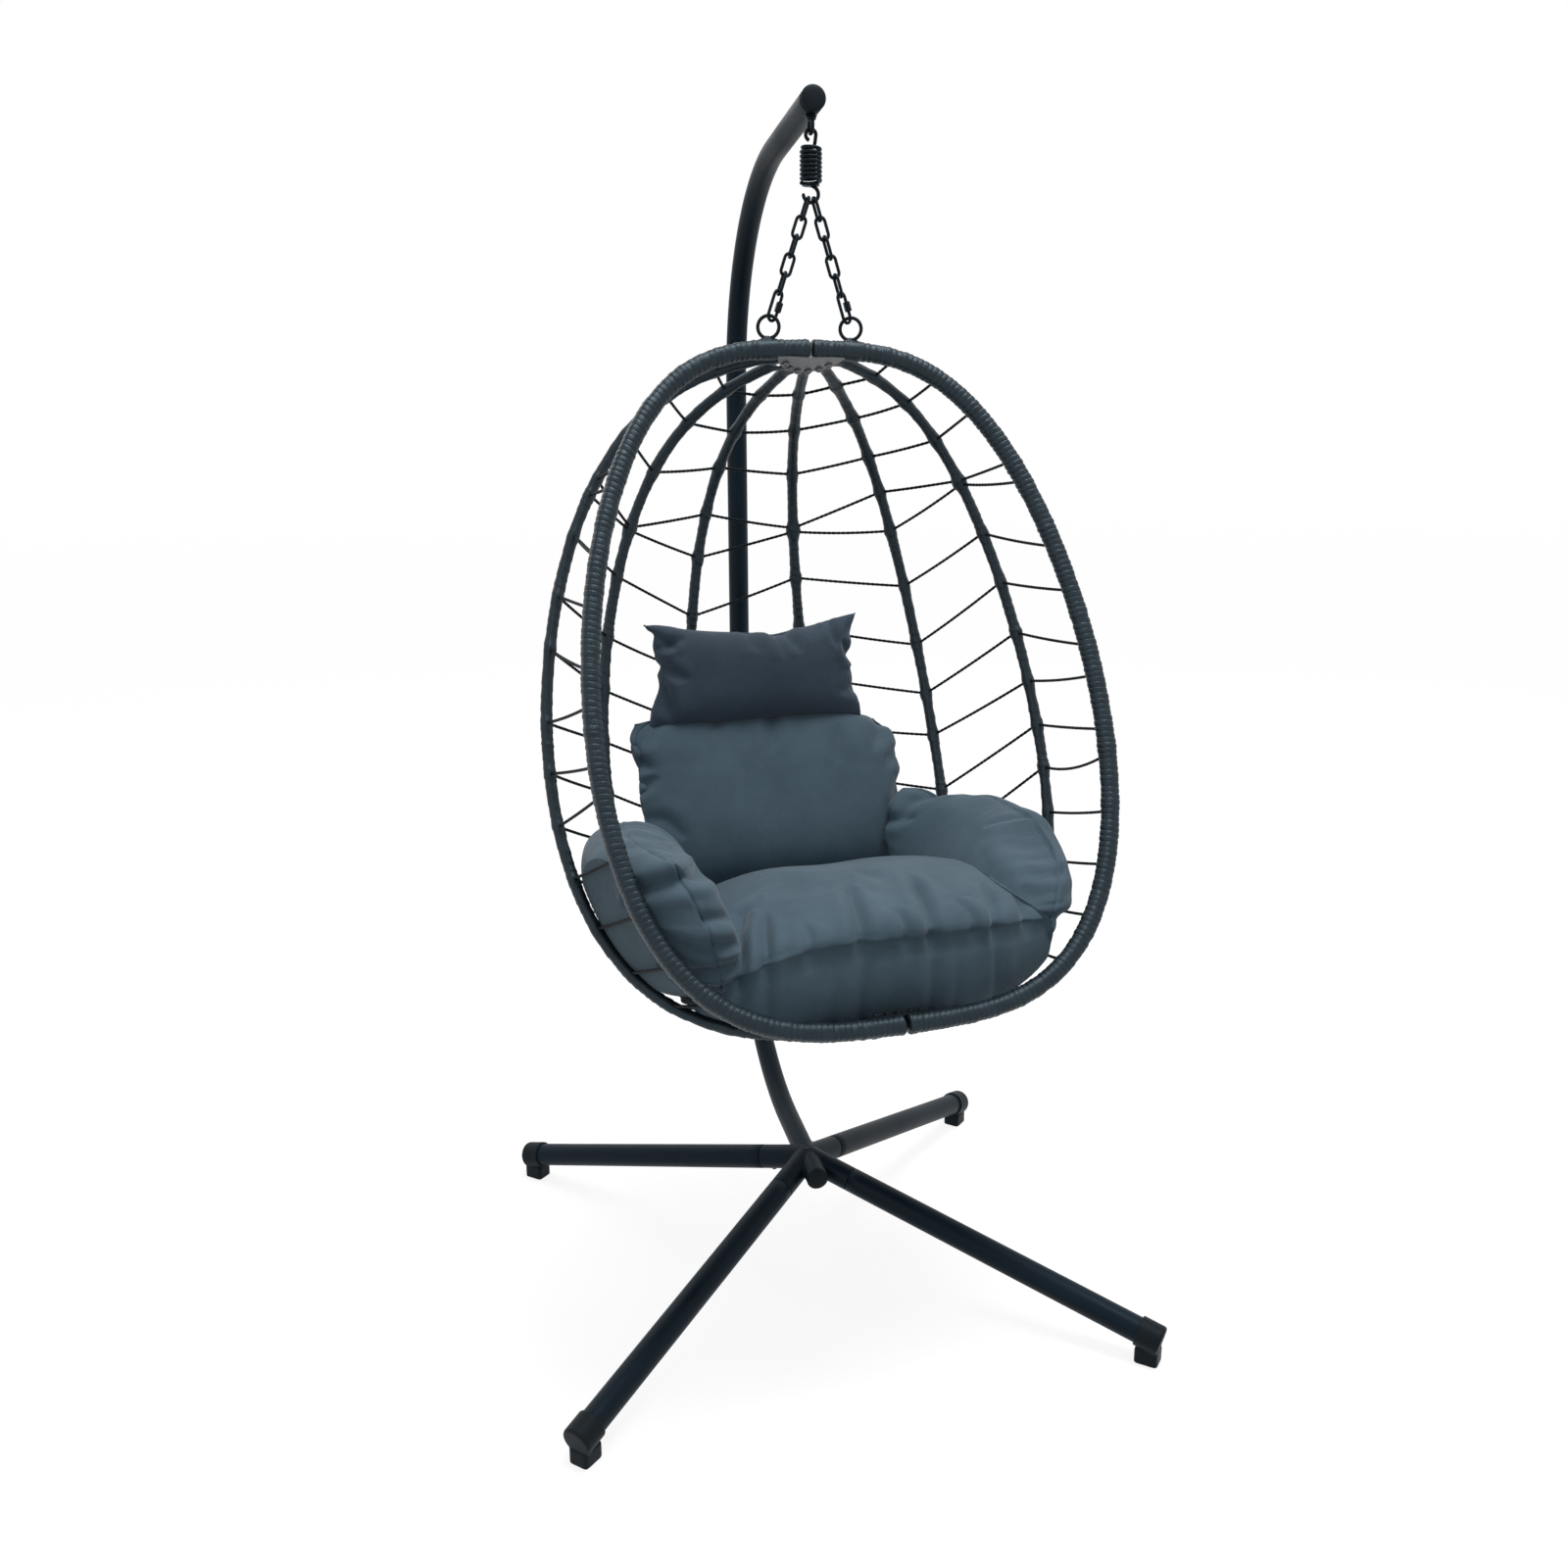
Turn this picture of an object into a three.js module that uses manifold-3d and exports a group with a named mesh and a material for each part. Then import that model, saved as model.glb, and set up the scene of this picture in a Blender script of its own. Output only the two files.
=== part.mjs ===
// A hanging egg chair: a folding wicker-wrapped basket with cushions, hung by two short chains
// and a spring from a C-shaped tube stand on four sloping legs. Millimetres, +Z up, the open
// side of the basket towards -Y and the post behind it.
import * as THREE from "three";
import { mergeVertices } from "three/addons/utils/BufferGeometryUtils.js";
import Module from "manifold-3d";

const wasm = await Module();
wasm.setup();

const degrees = THREE.MathUtils.degToRad;

// ---- driving dimensions -------------------------------------------------------------------
const fitGap = 0.3; // left between pieces that touch

// stand
const postRadius = 19;
const postWall = 1.6;
const postReach = 507; // from the hub back to the upright stretch
const postTopHeight = 1925; // middle of the tube at its upper end
const postSlope = degrees(6); // of both straight ends of the post
const lowerBend = 420;
const upperBend = 360;
const postSplit = 1000; // height where the upper post slips over the lower one
const postSpigot = 70; // how far the lower post reaches into the upper one
const noseLength = 68; // lower end of the post past the hub
const hookReach = 30; // hanging point in front of the hub
const endLength = 14; // upper end of the post past the hanging point
const hubHeight = 199;
const legRadius = 21;
const legWall = 1.6;
const legSpread = 636; // from the hub to the end of a leg, seen from above
const legTurn = degrees(46.4); // of a leg from the Y axis
const legEndHeight = 41;
const stubLength = 90;
const stubBoreStart = 14; // from the side of the post to the closed end of a stub's bore
const legSpigot = 45; // how far a leg reaches into its stub
const legScrewRadius = 2.4;
const legScrewHead = 4.6;
const legScrewHeadHeight = 3;
const legScrewGrip = 6; // how far its shank reaches into the leg
const legScrewInset = 16; // from the mouth of the stub
const capWall = 3.5;
const capDepth = 36;
const padWidth = 34;
const padLength = 30;
const padHeight = 26;
const padChamfer = 4;
const padHole = 3; // radius of the small hole in the inner side of a pad
const padHoleHeight = 9;
const padHoleInset = 10; // how deep the hole goes
const plugWall = 3;
const plugCrown = 0.8;
const plugDepth = 9;

// hanger
const eyeWire = 3;
const eyeRadius = 10;
const eyeStem = 4;
const eyeStemTop = 4; // how far the stem stops short of the middle of the post
const eyeDrop = 5; // from the underside of the post to the top of the eye's middle line
const eyeNut = 8;
const eyeNutHeight = 5;
const springWire = 2.8;
const springRadius = 14.2;
const springTurns = 8;
const springDrop = 59; // from the middle of the post's upper end to the top of the coil
const springLength = 58;
const springTopHeight = postTopHeight - springDrop;
const springBottomHeight = springTopHeight - springLength;
const topHookRadius = 8;
const hookRadius = 12;
const hookStem = 13;
const hookHeight = springBottomHeight - hookStem; // middle of the lower hook's round
const hookDisc = 3; // thickness of the disc that closes the coil
const linkWire = 2.5;
const linkWidth = 15;
const chainLinks = 5;
const quickLinkWire = 2.75;
const quickLinkWidth = 17;
const quickLinkLength = 46;
const quickLinkTurn = degrees(30); // from the front, about the chain
const ringTurn = degrees(-30);
const sleeveRadius = 5;
const sleeveLength = 15;
const ringWire = 3;
const ringRadius = 16.5;
const ringSpacing = 134;

// basket, in its own leaning frame: X across, Y to the back, Z along the line of its two ends
const slingLength = 223; // from the middle of the hook's round to the basket
const basketHeight = hookHeight - slingLength; // middle of the rim at the top
const basketSetback = 5; // from the hanging point back to the top of the rim
const basketLean = degrees(23);
const basketTurn = degrees(4.3); // about the hanging point
const basketLength = 1033;
const rimReach = 403; // half the width of the opening
const ribReaches = [480, 490, 516, 516, 500, 460]; // from left to right, as woven by hand
const ribSkew = degrees(2.3); // by which the ribs are turned to the left of even spacing
const rimRadius = 13.5;
const ribRadius = 9.5;
const rimSplit = 4; // between the two half rims
const ribStart = 62; // end of a rib from the middle of the hinge plate
const plateRadius = 84;
const plateThickness = 3;
const plateSeat = 3.4; // from a rib's underside, where it ends, to the plate
const boltHead = 6;
const boltInset = 12; // from the end of a rib to its bolt
const boltHeadHeight = 4;
const plateSetback = 12; // how far in front of the rims the middle of a plate's round lies
const plateGrowth = 6; // by which that round is larger than plateRadius
const plateEdge = 8; // degrees cut away at each end of the half-moon
const cordRadius = 2.2;
const laceStart = 147; // first cord from the top, measured along a rib
const laceRingPitch = 87;
const laceRings = 4; // level rows above the herringbone
const laceEnd = 165; // left free at the bottom
const laceGap = 0.5; // between a cord and the bar it passes
const laceHigh = { start: 428, pitch: 85 }; // herringbone rows on ribs 2, 4 and 6
const laceLow = { start: 468, pitch: 92 }; // on ribs 1, 3 and 5
const laceRim = { start: 440, pitch: 80 }; // on the rims

// cushions
const cushionGap = 0.5; // to the ribs and to each other
const roomInFront = 60; // how far a cushion may stand out in front of the rims
const plateClearance = 12; // left round the lower plate
const seatWidth = 590;
const seatDepth = 480;
const seatThickness = 180;
const seatMiddle = -95; // from the hanging point, front to back
const seatDrop = 800;
const seatTop = basketHeight - seatDrop;
const armWidth = 190;
const armDepth = 430;
const armHeight = 255;
const armOffset = 330;
const armMiddle = -115;
const armDrop = 700;
const armTop = basketHeight - armDrop;
const backWidth = 490;
const backMiddle = 178; // from the hanging point, front to back
const backDrop = 580;
const backTop = basketHeight - backDrop;
const backHeight = 320;
const backThickness = 150;
const backLean = degrees(22);
const pillowWidth = 370;
const pillowHeight = 165;
const pillowThickness = 110;
const pillowDrop = 510;
const pillowMiddle = basketHeight - pillowDrop;
const pillowSetback = 212;
const pillowLean = degrees(4);

// ---- materials ----------------------------------------------------------------------------
const steelPaint = new THREE.MeshStandardMaterial({ color: 0x27323b, roughness: 0.45, metalness: 0.4 });
const blackPlastic = new THREE.MeshStandardMaterial({ color: 0x15181b, roughness: 0.6, metalness: 0 });
const chainPaint = new THREE.MeshStandardMaterial({ color: 0x20282e, roughness: 0.5, metalness: 0.5 });
const wicker = new THREE.MeshStandardMaterial({ color: 0x18232b, roughness: 0.5, metalness: 0 });
const cord = new THREE.MeshStandardMaterial({ color: 0x14191d, roughness: 0.8, metalness: 0 });
const zinc = new THREE.MeshStandardMaterial({ color: 0x9aa3a8, roughness: 0.35, metalness: 0.9 });
const fabric = new THREE.MeshStandardMaterial({ color: 0x46586a, roughness: 0.95, metalness: 0 });

// ---- small tools --------------------------------------------------------------------------
const v3 = (x, y, z) => new THREE.Vector3(x, y, z);
const root = new THREE.Group();

function addMesh(parent, name, geometry, material) {
  const mesh = new THREE.Mesh(geometry, material);
  mesh.name = name;
  parent.add(mesh);
  return mesh;
}

// A route that visits its points exactly, so that a tube along it bends only there.
class Route extends THREE.Curve {
  constructor(points) {
    super();
    this.points = points;
    this.spans = points.length - 1;
  }

  getPoint(t) {
    const at = Math.min(t * this.spans, this.spans - 1e-9);
    const i = Math.floor(at + 1e-7);
    const next = Math.min(i + 1, this.spans);
    return this.points[i].clone().lerp(this.points[next], Math.max(at - i, 0));
  }

  getPointAt(u) {
    return this.getPoint(u);
  }

  getTangent(t) {
    const i = Math.round(t * this.spans);
    const before = this.points[Math.max(i - 1, 0)];
    const here = this.points[i];
    const after = this.points[Math.min(i + 1, this.spans)];
    const into = here.clone().sub(before).normalize();
    return into.add(after.clone().sub(here).normalize()).normalize();
  }

  getTangentAt(u) {
    return this.getTangent(u);
  }
}

function circle(radius, sides) {
  const corners = [];
  for (let i = 0; i < sides; i++) {
    const a = (2 * Math.PI * i) / sides;
    corners.push(new THREE.Vector2(radius * Math.cos(a), radius * Math.sin(a)));
  }
  return new THREE.Shape(corners);
}

function rod(points, radius, sides) {
  const path = new Route(points);
  return new THREE.ExtrudeGeometry(circle(radius, sides), { steps: path.spans, extrudePath: path });
}

function straightRod(from, to, radius, sides) {
  return rod([from, to], radius, sides);
}

// A closed loop of wire in the XZ plane, through points given in order round it.
function wireLoop(points, radius, sides) {
  const position = [];
  const index = [];
  const n = points.length;
  for (let i = 0; i < n; i++) {
    const ahead = points[(i + 1) % n].clone().sub(points[(i + n - 1) % n]).normalize();
    const out = v3(0, 1, 0).cross(ahead);
    for (let j = 0; j < sides; j++) {
      const a = (2 * Math.PI * j) / sides;
      const p = points[i].clone().addScaledVector(out, radius * Math.cos(a));
      position.push(p.x, p.y + radius * Math.sin(a), p.z);
      const i2 = (i + 1) % n;
      const j2 = (j + 1) % sides;
      index.push(i * sides + j, i * sides + j2, i2 * sides + j2);
      index.push(i * sides + j, i2 * sides + j2, i2 * sides + j);
    }
  }
  const geometry = new THREE.BufferGeometry();
  geometry.setAttribute("position", new THREE.Float32BufferAttribute(position, 3));
  geometry.setIndex(index);
  return geometry;
}

// A long round-ended loop whose wire runs from z = 0 at its upper end to z = -length.
function linkLoop(length, width, wire, sides, arcSteps) {
  const r = width / 2;
  const points = [];
  for (let i = 0; i <= arcSteps; i++) {
    const a = (Math.PI * i) / arcSteps;
    points.push(v3(r * Math.cos(a), 0, -r + r * Math.sin(a)));
  }
  for (let i = 0; i <= arcSteps; i++) {
    const a = Math.PI + (Math.PI * i) / arcSteps;
    points.push(v3(r * Math.cos(a), 0, r - length + r * Math.sin(a)));
  }
  return wireLoop(points, wire, sides);
}

function toSolid(geometry) {
  const bare = new THREE.BufferGeometry();
  bare.setAttribute("position", geometry.getAttribute("position"));
  bare.setIndex(geometry.getIndex());
  const merged = mergeVertices(bare, 1e-3);
  return new wasm.Manifold(
    new wasm.Mesh({
      numProp: 3,
      vertProperties: new Float32Array(merged.attributes.position.array),
      triVerts: new Uint32Array(merged.index.array),
    }),
  );
}

function toGeometry(solid) {
  const mesh = solid.getMesh();
  const geometry = new THREE.BufferGeometry();
  const position = new Float32Array(mesh.numVert * 3);
  for (let i = 0; i < mesh.numVert; i++) {
    position.set(mesh.vertProperties.subarray(i * mesh.numProp, i * mesh.numProp + 3), i * 3);
  }
  geometry.setAttribute("position", new THREE.BufferAttribute(position, 3));
  geometry.setIndex(new THREE.BufferAttribute(mesh.triVerts, 1));
  geometry.computeVertexNormals();
  return geometry;
}

function join(...geometries) {
  const solids = geometries.map(toSolid);
  return toGeometry(solids.slice(1).reduce((whole, piece) => whole.add(piece), solids[0]));
}

function cut(geometry, ...tools) {
  const solids = tools.map(toSolid);
  return toGeometry(solids.reduce((whole, tool) => whole.subtract(tool), toSolid(geometry)));
}

function common(geometry, other) {
  return toGeometry(toSolid(geometry).intersect(toSolid(other)));
}

// ---- stand --------------------------------------------------------------------------------
const tubeSides = 16;
const hangY = -hookReach;

// The middle line of the post in the plane X = 0: a gently rising straight end, a quarter bend,
// an upright, a second quarter bend and the upper straight end.
function postLine() {
  const rise = Math.tan(postSlope);
  const points = [];
  points.push(v3(0, -noseLength, hubHeight - noseLength * rise));
  const lowerX = postReach - lowerBend;
  const lowerStartZ = hubHeight + (lowerX + lowerBend * Math.sin(postSlope)) * rise;
  const lowerCentreZ = lowerStartZ + lowerBend * Math.cos(postSlope);
  const bendSteps = 9;
  for (let i = 0; i <= bendSteps; i++) {
    const a = -Math.PI / 2 + postSlope + ((Math.PI / 2 - postSlope) * i) / bendSteps;
    points.push(v3(0, lowerX + lowerBend * Math.cos(a), lowerCentreZ + lowerBend * Math.sin(a)));
  }
  const endY = hangY - endLength;
  const upperX = postReach - upperBend;
  const upperEndZ = postTopHeight - (upperX + upperBend * Math.sin(postSlope) - endY) * rise;
  const upperCentreZ = upperEndZ - upperBend * Math.cos(postSlope);
  points.push(v3(0, postReach, postSplit));
  for (let i = 0; i <= bendSteps; i++) {
    const a = ((Math.PI / 2 - postSlope) * i) / bendSteps;
    points.push(v3(0, upperX + upperBend * Math.cos(a), upperCentreZ + upperBend * Math.sin(a)));
  }
  points.push(v3(0, endY, postTopHeight));
  return points;
}

const postPoints = postLine();
const splitIndex = postPoints.findIndex((p) => p.z === postSplit && p.y === postReach);
const lowerPoints = postPoints.slice(0, splitIndex + 1);
const upperPoints = postPoints.slice(splitIndex);

// A copy of a route with its first and last points moved outwards along the route.
function lengthened(points, atStart, atEnd) {
  const longer = points.map((p) => p.clone());
  const last = longer.length - 1;
  longer[0].addScaledVector(points[0].clone().sub(points[1]).normalize(), atStart);
  longer[last].addScaledVector(points[last].clone().sub(points[last - 1]).normalize(), atEnd);
  return longer;
}

const hub = v3(0, 0, hubHeight);
const legDrop = hubHeight - legEndHeight;
const legLength = Math.hypot(legSpread, legDrop);
const legAngles = {
  front_left: Math.PI + legTurn,
  front_right: Math.PI - legTurn,
  back_right: legTurn,
  back_left: -legTurn,
};

function legDirection(turn) {
  return v3(Math.sin(turn) * legSpread, Math.cos(turn) * legSpread, -legDrop).normalize();
}

function along(direction, distance) {
  return hub.clone().addScaledVector(direction, distance);
}

// The way down that is square to a leg.
function squareDown(direction) {
  const side = v3(0, 0, 1).cross(direction).normalize();
  return side.cross(direction).normalize();
}

const stubBore = legRadius - legWall;
const spigotRadius = stubBore - fitGap;
const screwDistance = stubLength - legScrewInset;

function legScrewHole(direction, radius) {
  const at = along(direction, screwDistance);
  const down = squareDown(direction);
  return straightRod(at, at.clone().addScaledVector(down, legRadius + 5), radius, 10);
}

function lowerPost() {
  const outer = [rod(lowerPoints, postRadius, tubeSides)];
  const bores = [rod(lengthened(lowerPoints, 1, -postSpigot), postRadius - postWall, tubeSides)];
  for (const turn of Object.values(legAngles)) {
    const direction = legDirection(turn);
    outer.push(straightRod(hub, along(direction, stubLength), legRadius, tubeSides));
    const boreStart = along(direction, postRadius + stubBoreStart);
    bores.push(straightRod(boreStart, along(direction, stubLength + 1), stubBore, tubeSides));
    bores.push(legScrewHole(direction, legScrewRadius + fitGap));
  }
  const lowerEnd = lowerPoints[lowerPoints.length - 1];
  const spigotOuter = postRadius - postWall - fitGap;
  const spigotTop = lowerEnd.clone().add(v3(0, 0, postSpigot));
  const spigotFoot = lowerEnd.clone().add(v3(0, 0, -postSpigot));
  outer.push(straightRod(spigotFoot, spigotTop, spigotOuter, tubeSides));
  // the spigot is held inside the lower tube, whose bore stops at it
  const spigotBoreFoot = spigotFoot.clone().add(v3(0, 0, -1));
  const spigotBoreTop = spigotTop.clone().add(v3(0, 0, 1));
  bores.push(straightRod(spigotBoreFoot, spigotBoreTop, spigotOuter - postWall, tubeSides));
  return cut(join(...outer), ...bores);
}
addMesh(root, "lower_post", lowerPost(), steelPaint);

const eyeTop = postTopHeight - (hangY - postPoints[postPoints.length - 1].y) * Math.tan(postSlope);
const eyeCentreZ = eyeTop - postRadius - eyeDrop - eyeRadius;

function upperPost() {
  const start = upperPoints[0].clone().add(v3(0, 0, fitGap));
  const route = [start, ...upperPoints.slice(1)];
  const tube = rod(route, postRadius, tubeSides);
  const bore = rod(lengthened(route, 1, 1), postRadius - postWall, tubeSides);
  const holeFoot = v3(0, hangY, eyeTop - postRadius - eyeDrop);
  const eyeHole = straightRod(holeFoot, v3(0, hangY, eyeTop), eyeStem + fitGap, 12);
  return cut(tube, bore, eyeHole);
}
addMesh(root, "upper_post", upperPost(), steelPaint);

// A domed plug with a spigot in the end of the post.
function postPlug(points) {
  const end = points[0];
  const outward = end.clone().sub(points[1]).normalize();
  const r = postRadius;
  const profile = [
    new THREE.Vector2(0, -plugDepth),
    new THREE.Vector2(r - postWall - fitGap, -plugDepth),
    new THREE.Vector2(r - postWall - fitGap, fitGap),
    new THREE.Vector2(r, fitGap),
    new THREE.Vector2(r, plugWall * 0.6),
    new THREE.Vector2(r - plugWall * 0.5, plugWall),
    new THREE.Vector2(0, plugWall + plugCrown),
  ];
  const geometry = new THREE.LatheGeometry(profile, tubeSides);
  geometry.applyQuaternion(new THREE.Quaternion().setFromUnitVectors(v3(0, 1, 0), outward));
  geometry.translate(end.x, end.y, end.z);
  return geometry;
}
addMesh(root, "hub_plug", postPlug(lowerPoints), blackPlastic);
addMesh(root, "top_plug", postPlug([...upperPoints].reverse()), blackPlastic);

function leg(direction) {
  const mouth = along(direction, stubLength + fitGap);
  const end = along(direction, legLength);
  const spigotEnd = along(direction, stubLength - legSpigot);
  const tube = straightRod(mouth, end, legRadius, tubeSides);
  const spigot = straightRod(spigotEnd, along(direction, legLength / 2), spigotRadius, tubeSides);
  const boreStart = along(direction, stubLength - legSpigot - 1);
  const bore = straightRod(boreStart, along(direction, legLength + 1), spigotRadius - legWall, tubeSides);
  return cut(join(tube, spigot), bore, legScrewHole(direction, legScrewRadius + fitGap));
}

function footCap(direction) {
  const capRadius = legRadius + capWall;
  const end = along(direction, legLength + fitGap);
  const cupEnd = along(direction, legLength + fitGap + capWall);
  const cup = straightRod(along(direction, legLength - capDepth), cupEnd, capRadius, tubeSides);
  const mouth = straightRod(along(direction, legLength - capDepth - 1), end, legRadius + fitGap, tubeSides);
  const outline = new THREE.Shape();
  outline.moveTo(-padWidth / 2, 0);
  outline.lineTo(padWidth / 2, 0);
  outline.lineTo(padWidth / 2, padHeight);
  outline.lineTo(-padWidth / 2, padHeight);
  const pad = new THREE.ExtrudeGeometry(outline, {
    depth: padLength,
    bevelEnabled: true,
    bevelThickness: padChamfer,
    bevelSize: padChamfer,
    bevelOffset: -padChamfer,
    bevelSegments: 1,
  });
  const turn = Math.atan2(direction.y, direction.x);
  pad.rotateX(Math.PI / 2);
  pad.rotateZ(turn - Math.PI / 2);
  const middle = along(direction, legLength - capDepth / 2);
  const flat = v3(Math.cos(turn), Math.sin(turn), 0);
  pad.translate(middle.x + (flat.x * padLength) / 2, middle.y + (flat.y * padLength) / 2, 0);
  const below = new THREE.BoxGeometry(4 * padLength, 4 * padLength, padLength);
  below.translate(middle.x, middle.y, -padLength / 2);
  const innerSide = middle.clone().addScaledVector(flat, -padLength / 2 - padChamfer);
  innerSide.z = padHoleHeight;
  const holeStart = innerSide.clone().addScaledVector(flat, -padHoleInset);
  const hole = straightRod(holeStart, innerSide.clone().addScaledVector(flat, padHoleInset), padHole, 10);
  return cut(join(cup, pad), mouth, below, hole);
}

function legScrew(direction) {
  const down = squareDown(direction);
  const at = along(direction, screwDistance);
  const seat = at.clone().addScaledVector(down, legRadius + fitGap);
  const shankEnd = at.clone().addScaledVector(down, legRadius - legScrewGrip);
  const shank = straightRod(shankEnd, seat.clone().addScaledVector(down, 1), legScrewRadius, 10);
  const head = straightRod(seat, seat.clone().addScaledVector(down, legScrewHeadHeight), legScrewHead, 12);
  return join(head, shank);
}

for (const [place, turn] of Object.entries(legAngles)) {
  const direction = legDirection(turn);
  addMesh(root, `leg_${place}`, leg(direction), steelPaint);
  addMesh(root, `foot_cap_${place}`, footCap(direction), blackPlastic);
  addMesh(root, `leg_screw_${place}`, legScrew(direction), chainPaint);
}

// ---- hanger -------------------------------------------------------------------------------
function hangingEye() {
  const ring = new THREE.TorusGeometry(eyeRadius, eyeWire, 6, 16);
  ring.rotateY(Math.PI / 2);
  ring.translate(0, hangY, eyeCentreZ);
  const stemTop = v3(0, hangY, eyeTop - eyeStemTop);
  const stem = straightRod(v3(0, hangY, eyeCentreZ + eyeRadius), stemTop, eyeStem, 12);
  const nutTop = eyeTop - postRadius - fitGap - eyeNut * Math.tan(postSlope);
  const nut = straightRod(v3(0, hangY, nutTop - eyeNutHeight), v3(0, hangY, nutTop), eyeNut, 6);
  return join(ring, stem, nut);
}
addMesh(root, "hanging_eye", hangingEye(), chainPaint);

const hanger = new THREE.Group();
hanger.position.set(0, hangY, 0);
root.add(hanger);

// The spring's wire: a round hook through the eye, then down the coil.
const topHookZ = eyeCentreZ - eyeRadius + eyeWire + fitGap + springWire - topHookRadius;
function springWirePoints() {
  const points = [];
  const hookSteps = 12;
  for (let i = 0; i <= hookSteps; i++) {
    const a = degrees(-150 + (290 * i) / hookSteps);
    points.push(v3(topHookRadius * Math.sin(a), 0, topHookZ + topHookRadius * Math.cos(a)));
  }
  points.shift();
  points.pop();
  const coilTop = springTopHeight - springWire;
  const coilBottom = springBottomHeight + springWire;
  points.push(v3(springRadius * 0.62, 0, coilTop + 2.5));
  const perTurn = 10;
  for (let i = 0; i <= springTurns * perTurn; i++) {
    const a = (2 * Math.PI * i) / perTurn;
    const z = coilTop + ((coilBottom - coilTop) * i) / (springTurns * perTurn);
    points.push(v3(springRadius * Math.cos(a), springRadius * Math.sin(a), z));
  }
  return points;
}
addMesh(hanger, "spring", rod(springWirePoints(), springWire, 5), chainPaint);

// The lower hook, on a disc that closes the coil's lower end.
function springHook() {
  const points = [v3(0, 0, springBottomHeight - 2)];
  const steps = 12;
  for (let i = 0; i <= steps; i++) {
    const a = degrees(25 + (250 * i) / steps);
    points.push(v3(hookRadius * Math.sin(a), 0, hookHeight + hookRadius * Math.cos(a)));
  }
  const disc = new THREE.CylinderGeometry(springRadius - hookDisc, springRadius, hookDisc, 16);
  disc.rotateX(Math.PI / 2);
  disc.translate(0, 0, springBottomHeight - 2 * fitGap);
  return join(rod(points, springWire, 8), disc);
}
addMesh(hanger, "spring_hook", springHook(), chainPaint);

// Everything below the hook turns with the basket.
const sling = new THREE.Group();
sling.rotation.z = basketTurn;
hanger.add(sling);

const basketTop = v3(0, basketSetback, basketHeight);
const ringCentreZ = basketHeight + rimRadius + ringRadius + ringWire - 1.4 + fitGap;
const hookSide = degrees(30); // where a chain sits on the round of the hook
const ringSide = degrees(20); // and where it pulls on the round of its ring

function addChain(side, place) {
  const hookX = side * hookRadius * Math.sin(hookSide);
  const hookPoint = v3(hookX, 0, hookHeight - hookRadius * Math.cos(hookSide));
  const inward = -side * ringRadius * Math.sin(ringSide);
  const ringPoint = v3(
    (side * ringSpacing) / 2 + inward * Math.cos(ringTurn),
    basketSetback + inward * Math.sin(ringTurn),
    ringCentreZ + ringRadius * Math.cos(ringSide),
  );
  const down = ringPoint.clone().sub(hookPoint);
  const distance = down.length();
  down.normalize();
  const hookSeat = springWire + linkWire + 2 * fitGap;
  const linkSeat = 2 * linkWire + fitGap;
  const quickSeat = linkWire + quickLinkWire + 3 * fitGap;
  const ringSeat = quickLinkWire + ringWire + 3 * fitGap;
  const seats = (chainLinks - 1) * linkSeat + quickSeat;
  const linkLength = (distance + hookSeat + ringSeat + seats - quickLinkLength) / chainLinks;
  const lean = new THREE.Group();
  lean.quaternion.setFromUnitVectors(v3(0, 0, -1), down);
  lean.position.copy(hookPoint).addScaledVector(down, -hookSeat);
  sling.add(lean);
  let z = 0;
  for (let i = 0; i < chainLinks; i++) {
    const link = addMesh(lean, `chain_link_${place}_${i + 1}`,
      linkLoop(linkLength, linkWidth, linkWire, 6, 4), chainPaint);
    link.position.z = z;
    link.rotation.z = i % 2 === 0 ? Math.PI / 2 : 0;
    z -= linkLength - linkSeat;
  }
  z += quickSeat - linkSeat;
  const quickLink = addMesh(lean, `quick_link_${place}`,
    linkLoop(quickLinkLength, quickLinkWidth, quickLinkWire, 6, 4), chainPaint);
  quickLink.position.z = z;
  quickLink.rotation.z = quickLinkTurn;
  const sleeve = new THREE.LatheGeometry(
    [
      new THREE.Vector2(quickLinkWire + 2 * fitGap, -sleeveLength / 2),
      new THREE.Vector2(sleeveRadius, -sleeveLength / 2),
      new THREE.Vector2(sleeveRadius, sleeveLength / 2),
      new THREE.Vector2(quickLinkWire + 2 * fitGap, sleeveLength / 2),
      new THREE.Vector2(quickLinkWire + 2 * fitGap, -sleeveLength / 2),
    ],
    6,
  );
  sleeve.rotateX(Math.PI / 2);
  const sleeveMesh = addMesh(quickLink, `link_sleeve_${place}`, sleeve, chainPaint);
  sleeveMesh.position.set(quickLinkWidth / 2, 0, -quickLinkLength / 2);
}
addChain(-1, "left");
addChain(1, "right");

// ---- basket -------------------------------------------------------------------------------
const basket = new THREE.Group();
basket.position.copy(basketTop);
basket.rotation.x = -basketLean;
sling.add(basket);

// Half of the egg's outline as distance from the axis and height, from the top (t = 0) to the
// bottom (t = 1): a round whose ends are blunt and whose lower half is the wider one.
function eggOutline(t, reach) {
  const a = Math.PI * t;
  const out = 0.985 * Math.sin(a) ** 0.62 * (1 - 0.1 * Math.cos(a));
  return { out: reach * out, z: -(basketLength / 2) * (1 - Math.cos(a)) };
}

// The t at which the outline is a given distance from the axis, near the top or the bottom.
function outlineEnd(reach, distance, atTop) {
  let low = 0;
  let high = 0.25;
  for (let i = 0; i < 40; i++) {
    const middle = (low + high) / 2;
    const t = atTop ? middle : 1 - middle;
    if (eggOutline(t, reach).out < distance) low = middle;
    else high = middle;
  }
  return atTop ? low : 1 - low;
}

const reaches = [rimReach, ...ribReaches, rimReach];
const bays = reaches.length - 1;

function isRim(index) {
  return index === 0 || index === reaches.length - 1;
}

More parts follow.
